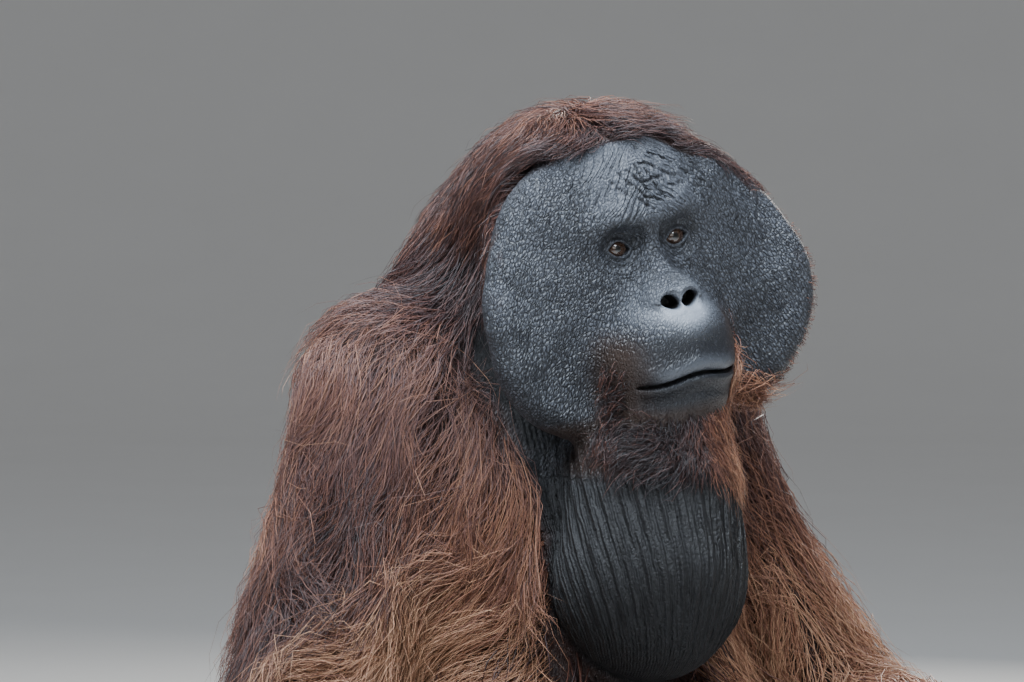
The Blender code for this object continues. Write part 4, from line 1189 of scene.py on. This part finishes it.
coats = {}
coats["coatCrown"] = {
    "count": 8400, "length": 0.060, "width": 0.0007, "lift": 0.017, "droop": 0.05, "cling": 0.6, "gather": 0.7,
    "wave": 0.0024, "swirl": 0.38, "eddy": 45, "lie": crownLie,
    "where": crownArea * (1 + 3 * bell(np.hypot(hx, hy - whorlBack), 0.02)),
    "longer": lambda p: 0.50 + 0.50 * ease(toHead(p)[:, 1], 0.015, 0.06), "paintedSheen": lambda p: 0.05 + 0.16 * nearLine(p),
    "higher": lambda p: 1 - 0.72 * ease(toHead(p)[:, 0], 0.020, 0.055) * ease(-toHead(p)[:, 1], -0.065, -0.045),
    # lighter at the very top of the head as painted rim light, and darker at the front hairline
    "tone": lambda p: 0.31 + 0.16 * ease(p[:, 2], 0.87, 0.915) - 0.14 * nearLine(p),
    "unwrap": ((0, -0.06, 0.70), (0, -0.06, 0.90)),
}
coats["coatNape"] = {
    "count": 5800, "length": 0.085, "width": 0.0008, "lift": 0.020, "droop": 0.25, "cling": 0.6, "paintedSheen": paintedSheenAmount,
    "where": sideArea, "lie": napeLie,
    "tone": lambda p: 0.15 + 0.19 * ease(p[:, 1], 0.0, 0.12) + 0.34 * ease(-p[:, 2], -0.77, -0.71) * ease(
        np.abs(p[:, 0]), 0.07, 0.11),
    "unwrap": ((0, 0.03, 0.60), (0, 0.03, 0.90)),
}
for side, sideName in ((-1, "Right"), (1, "Left")):
    near = side < 0    # the photo shows the right side from near by
    for part in range(2 if near else 1):
        coats["coatUpperArm" + sideName + "AB"[part]] = {
            "count": 8600 if near else 8000, "length": 0.125, "width": 0.00062 if near else 0.0008, "lift": 0.025,
            "paintedSheen": paintedSheenAmount, "droop": 0.22, "cling": 0.45, "stray": 0.30, "swirl": 0.55, "eddy": 46, "clump": 9,
            "gather": 0.45, "wave": 0.0075, "tone": armTone, "lie": upperArmLie(side),
            "where": onPart(upperArm, side=side) + 0.9 * chestSide * (cx * side > 0),
            "higher": lambda p: 0.35 + 0.65 * ease(-p[:, 2], -0.68, -0.52),
            "unwrap": (flip("shoulder", side), flip("elbow", side)),
        }
    coats["coatForearm" + sideName] = {
        "count": 4800 if near else 3200, "length": 0.150, "width": 0.0009 if near else 0.0013,
        "lift": 0.036 if near else 0.016, "droop": 0.40, "cling": 0.5, "clump": 16, "wave": 0.004, "tone": 0.70,
        "where": onPart(foreArm, side=side), "lie": limbLie("wrist", "elbow", side, (0.25, 0, 0)),
        "higher": lambda p, side=side: 0.30 + 0.70 * ease(np.linalg.norm(p - flip("wrist", side), axis=1), 0.03, 0.16),
        "unwrap": (flip("wrist", side), flip("elbow", side)),
    }
    coats["coatLeg" + sideName] = {
        "count": 3500, "steps": 3, "length": 0.110, "width": 0.0017, "lift": 0.020, "droop": 0.35, "cling": 0.5,
        "where": onPart(thigh, shin, side=side) * (cz > 0.03), "lie": legLie(side), "tone": 0.50,
        "unwrap": (flip("knee", side), flip("ankle", side) * (1, 0, 1)),
    }
for part in range(2):
    coats["coatBack" + "AB"[part]] = {
        "count": 4500, "steps": 3, "length": 0.150, "width": 0.0016, "lift": 0.028, "droop": 0.22, "cling": 0.5,
        "where": onPart(trunk) * (cy > 0.040) * (cz < 0.72) * ease(cz, 0.02, 0.06), "lie": fall(1.6, 0.15),
        "higher": lambda p: 1 - 0.55 * ease(p[:, 2], 0.45, 0.60),
        "tone": lambda p: 0.52 + 0.04 * ease(p[:, 2], 0.6, 0.75),
        "unwrap": ((0, 0.06, 0.0), (0, 0.06, 0.7)),
    }
coats["coatFront"] = {
    "count": 3000, "steps": 3, "length": 0.100, "width": 0.0017, "lift": 0.018, "droop": 0.25, "cling": 0.6,
    "where": onPart(trunk) * (cy <= 0.045) * (cz > 0.03) * (cz < 0.50), "lie": fall(2.0, -0.2),
    # darker than the back, most at the top under the arms and the sac, as painted shade
    "tone": lambda p: 0.36 + 0.1 * ease(-p[:, 2], -0.45, -0.25), "unwrap": ((0, 0.06, 0.0), (0, 0.06, 0.7)),
}
coats["coatBeard"] = {
    "count": 3600, "length": 0.036, "width": 0.00065, "lift": 0.007, "droop": 0.48, "cling": 0.10, "clump": 7,
    "eddy": 70, "gather": 0.40, "wave": 0.0034, "stray": 0.42, "swirl": 0.6, "rise": 0.35, "flyaway": 0.08,
    "uneven": (0.3, 1.45), "free": True, "where": beardArea(), "paintedSheen": 0,
    "lie": lambda p: columns(np.clip(toHead(p)[:, 0] * 24, -1.2, 0.55), 0.10, -1),
    "longer": lambda p: 0.40 + 0.55 * ease(-toHead(p)[:, 2], 0.10, 0.15) + 0.55 * ease(p[:, 0], 0.01, 0.05),
    # darkest in the middle under the chin as painted shade, paler to the right and much more orange to the left
    "tone": lambda p: 0.04 + 0.22 * ease(-p[:, 0], 0.015, 0.055) + 0.62 * ease(p[:, 0], 0.0, 0.045),
    "unwrap": ((0, -0.10, 0.55), (0, -0.10, 0.80)),
}
coats["coatPads"] = {    # the backs of the cheek pads
    "count": 2600, "steps": 3, "length": 0.036, "width": 0.0011, "lift": 0.008, "droop": 0.2, "cling": 0.4,
    "wave": 0.002, "free": True, "where": onPart(pad) * (tri["fromPad"] < 0.006) * (hz < hairline(hx))
    * np.where(hx > 0, hy > 0.032, hy > 0.046) * (0.25 + 0.75 * ease(hz, -0.02, 0.02)),
    "lie": lambda p: np.where((p[:, 0] > 0)[:, None], (1, 0.15, -0.55), (-0.4, 0.8, -1.0)),
    # the far side lighter, more so near the top, as painted rim light along the head's outline
    "tone": lambda p: 0.26 + (0.12 + 0.14 * ease(p[:, 2], 0.80, 0.86)) * (p[:, 0] > 0),
    "unwrap": ((0, -0.2, 0.75), (0, 0.1, 0.75)),
}
coats["coatFuzz"] = {    # fine short hair round the rim of the left pad
    "count": 1500, "steps": 2, "length": 0.009, "width": 0.00045, "lift": 0.005, "droop": 0.1, "cling": 0.0,
    "wave": 0.0008, "rise": 1.0, "stray": 0.35, "free": True, "tone": 0.46,
    "where": onPart(pad) * (np.abs(tri["fromPad"]) < 0.004) * (hy < 0.045) * ease(
        np.hypot((hs - 0.079) / 0.080, (hz + 0.047) / 0.101), 0.84, 1.0) * (hx > 0),
    "lie": lambda p: columns(np.sign(p[:, 0]), 0.0, -0.6), "unwrap": ((0, -0.2, 0.75), (0, 0.1, 0.75)),
}
coats["coatPaws"] = {
    "count": 2300, "steps": 2, "length": 0.026, "width": 0.0008, "lift": 0.004, "droop": 0.3, "cling": 0.4,
    "wave": 0.001, "free": True, "where": onPart(paw) * ease(cy, -0.435, -0.36) * (cz > 0.032), "tone": 0.42,
    "lie": lambda p: columns(np.sign(p[:, 0]) * 0.5, -0.7, -0.5), "unwrap": ((0, -0.4, 0.0), (0, -0.4, 0.4)),
}
for coatName, coatSettings in coats.items():
    growCoat(coatName, coatSettings)
print("coat grown")


# nails: curved plates over the last joint of every finger and toe
nail = {
    "spread": 0.95,         # radians to each side of the top of the digit
    "reach": (-0.0095, 0.0070),
    "stand": (0.0013, -0.0006),
    "rows": 9,
    "columns": 11,
    "fingerRadius": 0.0088,
    "toeRadius": 0.0090,
    "thumb": (0.0075, (-0.7, -0.7, 0.1)),     # radius, and where its nail faces
    "bigToe": (0.0095, (-0.5, -0.3, 0.8)),
}


def nailPlate(tip, way, top, radius):
    # angle over the digit by way along it; the radius falls as a ball's does past the tip; outer sheet, then inner
    across = np.cross(way, top)
    v, u = np.meshgrid(np.linspace(0, 1, nail["rows"]), np.linspace(-1, 1, nail["columns"]), indexing="ij")
    angle = u * nail["spread"] * (1 - 0.25 * (2 * v - 1) ** 4)
    along = nail["reach"][0] + (nail["reach"][1] - nail["reach"][0]) * v - 0.0012 * u ** 2 * np.where(v > 0.5, 1, -1)
    round3 = np.sqrt(np.maximum(radius ** 2 - np.maximum(along, 0) ** 2, (radius * 0.55) ** 2))
    sheets = []
    for stand in nail["stand"]:
        r = round3 + stand - 0.0008 * (1 - v) * (stand > 0)
        up, aside = (r * np.cos(angle))[..., None] * top, (r * np.sin(angle))[..., None] * across
        sheets.append((tip + along[..., None] * way + up + aside).reshape(-1, 3))
    number = np.arange(v.size).reshape(v.shape)
    quads = np.stack([number[:-1, :-1], number[:-1, 1:], number[1:, 1:], number[1:, :-1]], -1).reshape(-1, 4)
    edge = np.concatenate([number[0], number[1:, -1], number[-1, -2::-1], number[-2:0:-1, 0]])
    after = np.roll(edge, -1)
    rim = np.stack([after, edge, edge + v.size, after + v.size], 1)
    return np.vstack(sheets), np.vstack([quads, quads[:, ::-1] + v.size, rim]), v.ravel()


def makeNails():
    points, faces, marks = [], [], []
    plates = [(path, nail["fingerRadius"], None) for path in fingerPaths]
    plates += [(path, nail["toeRadius"], None) for path in toePaths]
    plates += [(thumbPath, *nail["thumb"]), (bigToePath, *nail["bigToe"])]
    for path, radius, facing in plates:
        way = unit(np.array(path[-1]) - path[-2])
        top = np.cross(way, (1, 0, 0)) if facing is None else np.array(facing)
        top = unit(top - way * (top @ way))
        plate, quads, v = nailPlate(np.array(path[-1]), way, top, radius)
        for side in (1, -1):
            faces.append((quads if side > 0 else quads[:, ::-1]) + len(points) * len(plate))
            points.append(plate * (side, 1, 1))
            marks.append(np.tile(v, 2))
    obj = makeMesh("nails", np.vstack(points), np.vstack(faces))
    setAttribute(obj.data, "nailAlong", np.concatenate(marks))
    made, shader, w = newMaterial("orangutanNail")
    along = w.attribute("nailAlong")
    streaks = w.noise(w.add("ShaderNodeTexCoord", {}, {}, out=3), 900.0, 3.0, 0.6)
    color = w.mix(along.clamped(0.55, 1.0), (0.016, 0.012, 0.011, 1), (0.085, 0.064, 0.050, 1))
    color = w.mix(streaks * 0.5, color, (0.030, 0.022, 0.019, 1))
    plug(shader, {"Base Color": color, "Roughness": 0.34, "Normal": w.bump(streaks, 0.4, 0.0002)})
    obj.data.materials.append(made)
    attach(obj, "root")


makeNails()
print("nails made")


# floor, lights and the camera at the photo's angle
studio = {
    "aim": (-0.084, -0.041, 0.713),
    "azimuth": -33.0,
    "elevation": 3.0,
    "distance": 4.485,
    "lens": 190.0,
    "sensor": 36,
    "floorAround": 96,
    "lights": (    # name, place, what it faces, size, power and colour
        ("sky", (-0.5, -0.5, 2.5), (-0.05, -0.05, 0.7), 2.0, 185, (0.80, 0.90, 1.0)),
        ("front", (-1.7, -2.9, 1.7), (0, 0, 0.65), 1.6, 13, (1.0, 0.97, 0.94)),
        ("rim", (2.6, 2.0, 1.8), (0, 0, 0.55), 1.6, 88, (1.0, 0.95, 0.88)),
    ),
    "worldColour": (0.78, 0.80, 0.84, 1),
    "worldStrength": 0.38,
}


def aimed(name, data, at, way):
    # a camera or light at a place, facing along way
    obj = bpy.data.objects.new(name, data)
    obj.location = at
    obj.rotation_euler = way.to_track_quat("-Z", "Y").to_euler()
    bpy.context.scene.collection.objects.link(obj)
    return obj


def makeStudio():
    azimuth, elevation = math.radians(studio["azimuth"]), math.radians(studio["elevation"])
    back = Vector((math.sin(azimuth) * math.cos(elevation), -math.cos(azimuth) * math.cos(elevation),
                   math.sin(elevation)))
    camera = aimed("camera", bpy.data.cameras.new("camera"), Vector(studio["aim"]) + back * studio["distance"], -back)
    camera.data.lens = studio["lens"]
    camera.data.sensor_width = studio["sensor"]
    bpy.context.scene.camera = camera
    # a wide floor that curves up into a wall all round: radius and height along one profile, turned
    bend = np.linspace(0, math.pi / 2, 13)
    radius = np.concatenate([[0.0, 4.0, 8.0], 9 + 5 * np.sin(bend), [14.0]])
    height = np.concatenate([[0.0, 0.0, 0.0], 5 - 5 * np.cos(bend), [9.0]]) - 0.0006
    around = studio["floorAround"]
    turn = np.linspace(0, 2 * math.pi, around, endpoint=False)
    ring = np.stack([radius[:, None] * np.cos(turn), radius[:, None] * np.sin(turn),
                     height[:, None] * np.ones(around)], -1)
    floor = makeMesh("floor", ring.reshape(-1, 3), ringFaces(len(radius), around))
    made, shader, w = newMaterial("studioFloor")
    grain = w.noise(w.add("ShaderNodeTexCoord", {}, {}, out=3), 3.0, 4.0)
    plug(shader, {"Base Color": w.mix(grain, (0.76, 0.75, 0.73, 1), (0.80, 0.79, 0.77, 1)), "Roughness": 0.85})
    floor.data.materials.append(made)
    world = bpy.data.worlds.new("studio")
    world.use_nodes = True
    plug(world.node_tree.nodes["Background"], {0: studio["worldColour"], 1: studio["worldStrength"]})
    bpy.context.scene.world = world
    for name, at, to, size, power, colour in studio["lights"]:
        light = aimed(name, bpy.data.lights.new(name, "AREA"), at, Vector(to) - Vector(at))
        light.data.size = size
        light.data.energy = power
        light.data.color = colour


makeStudio()
print("studio made")
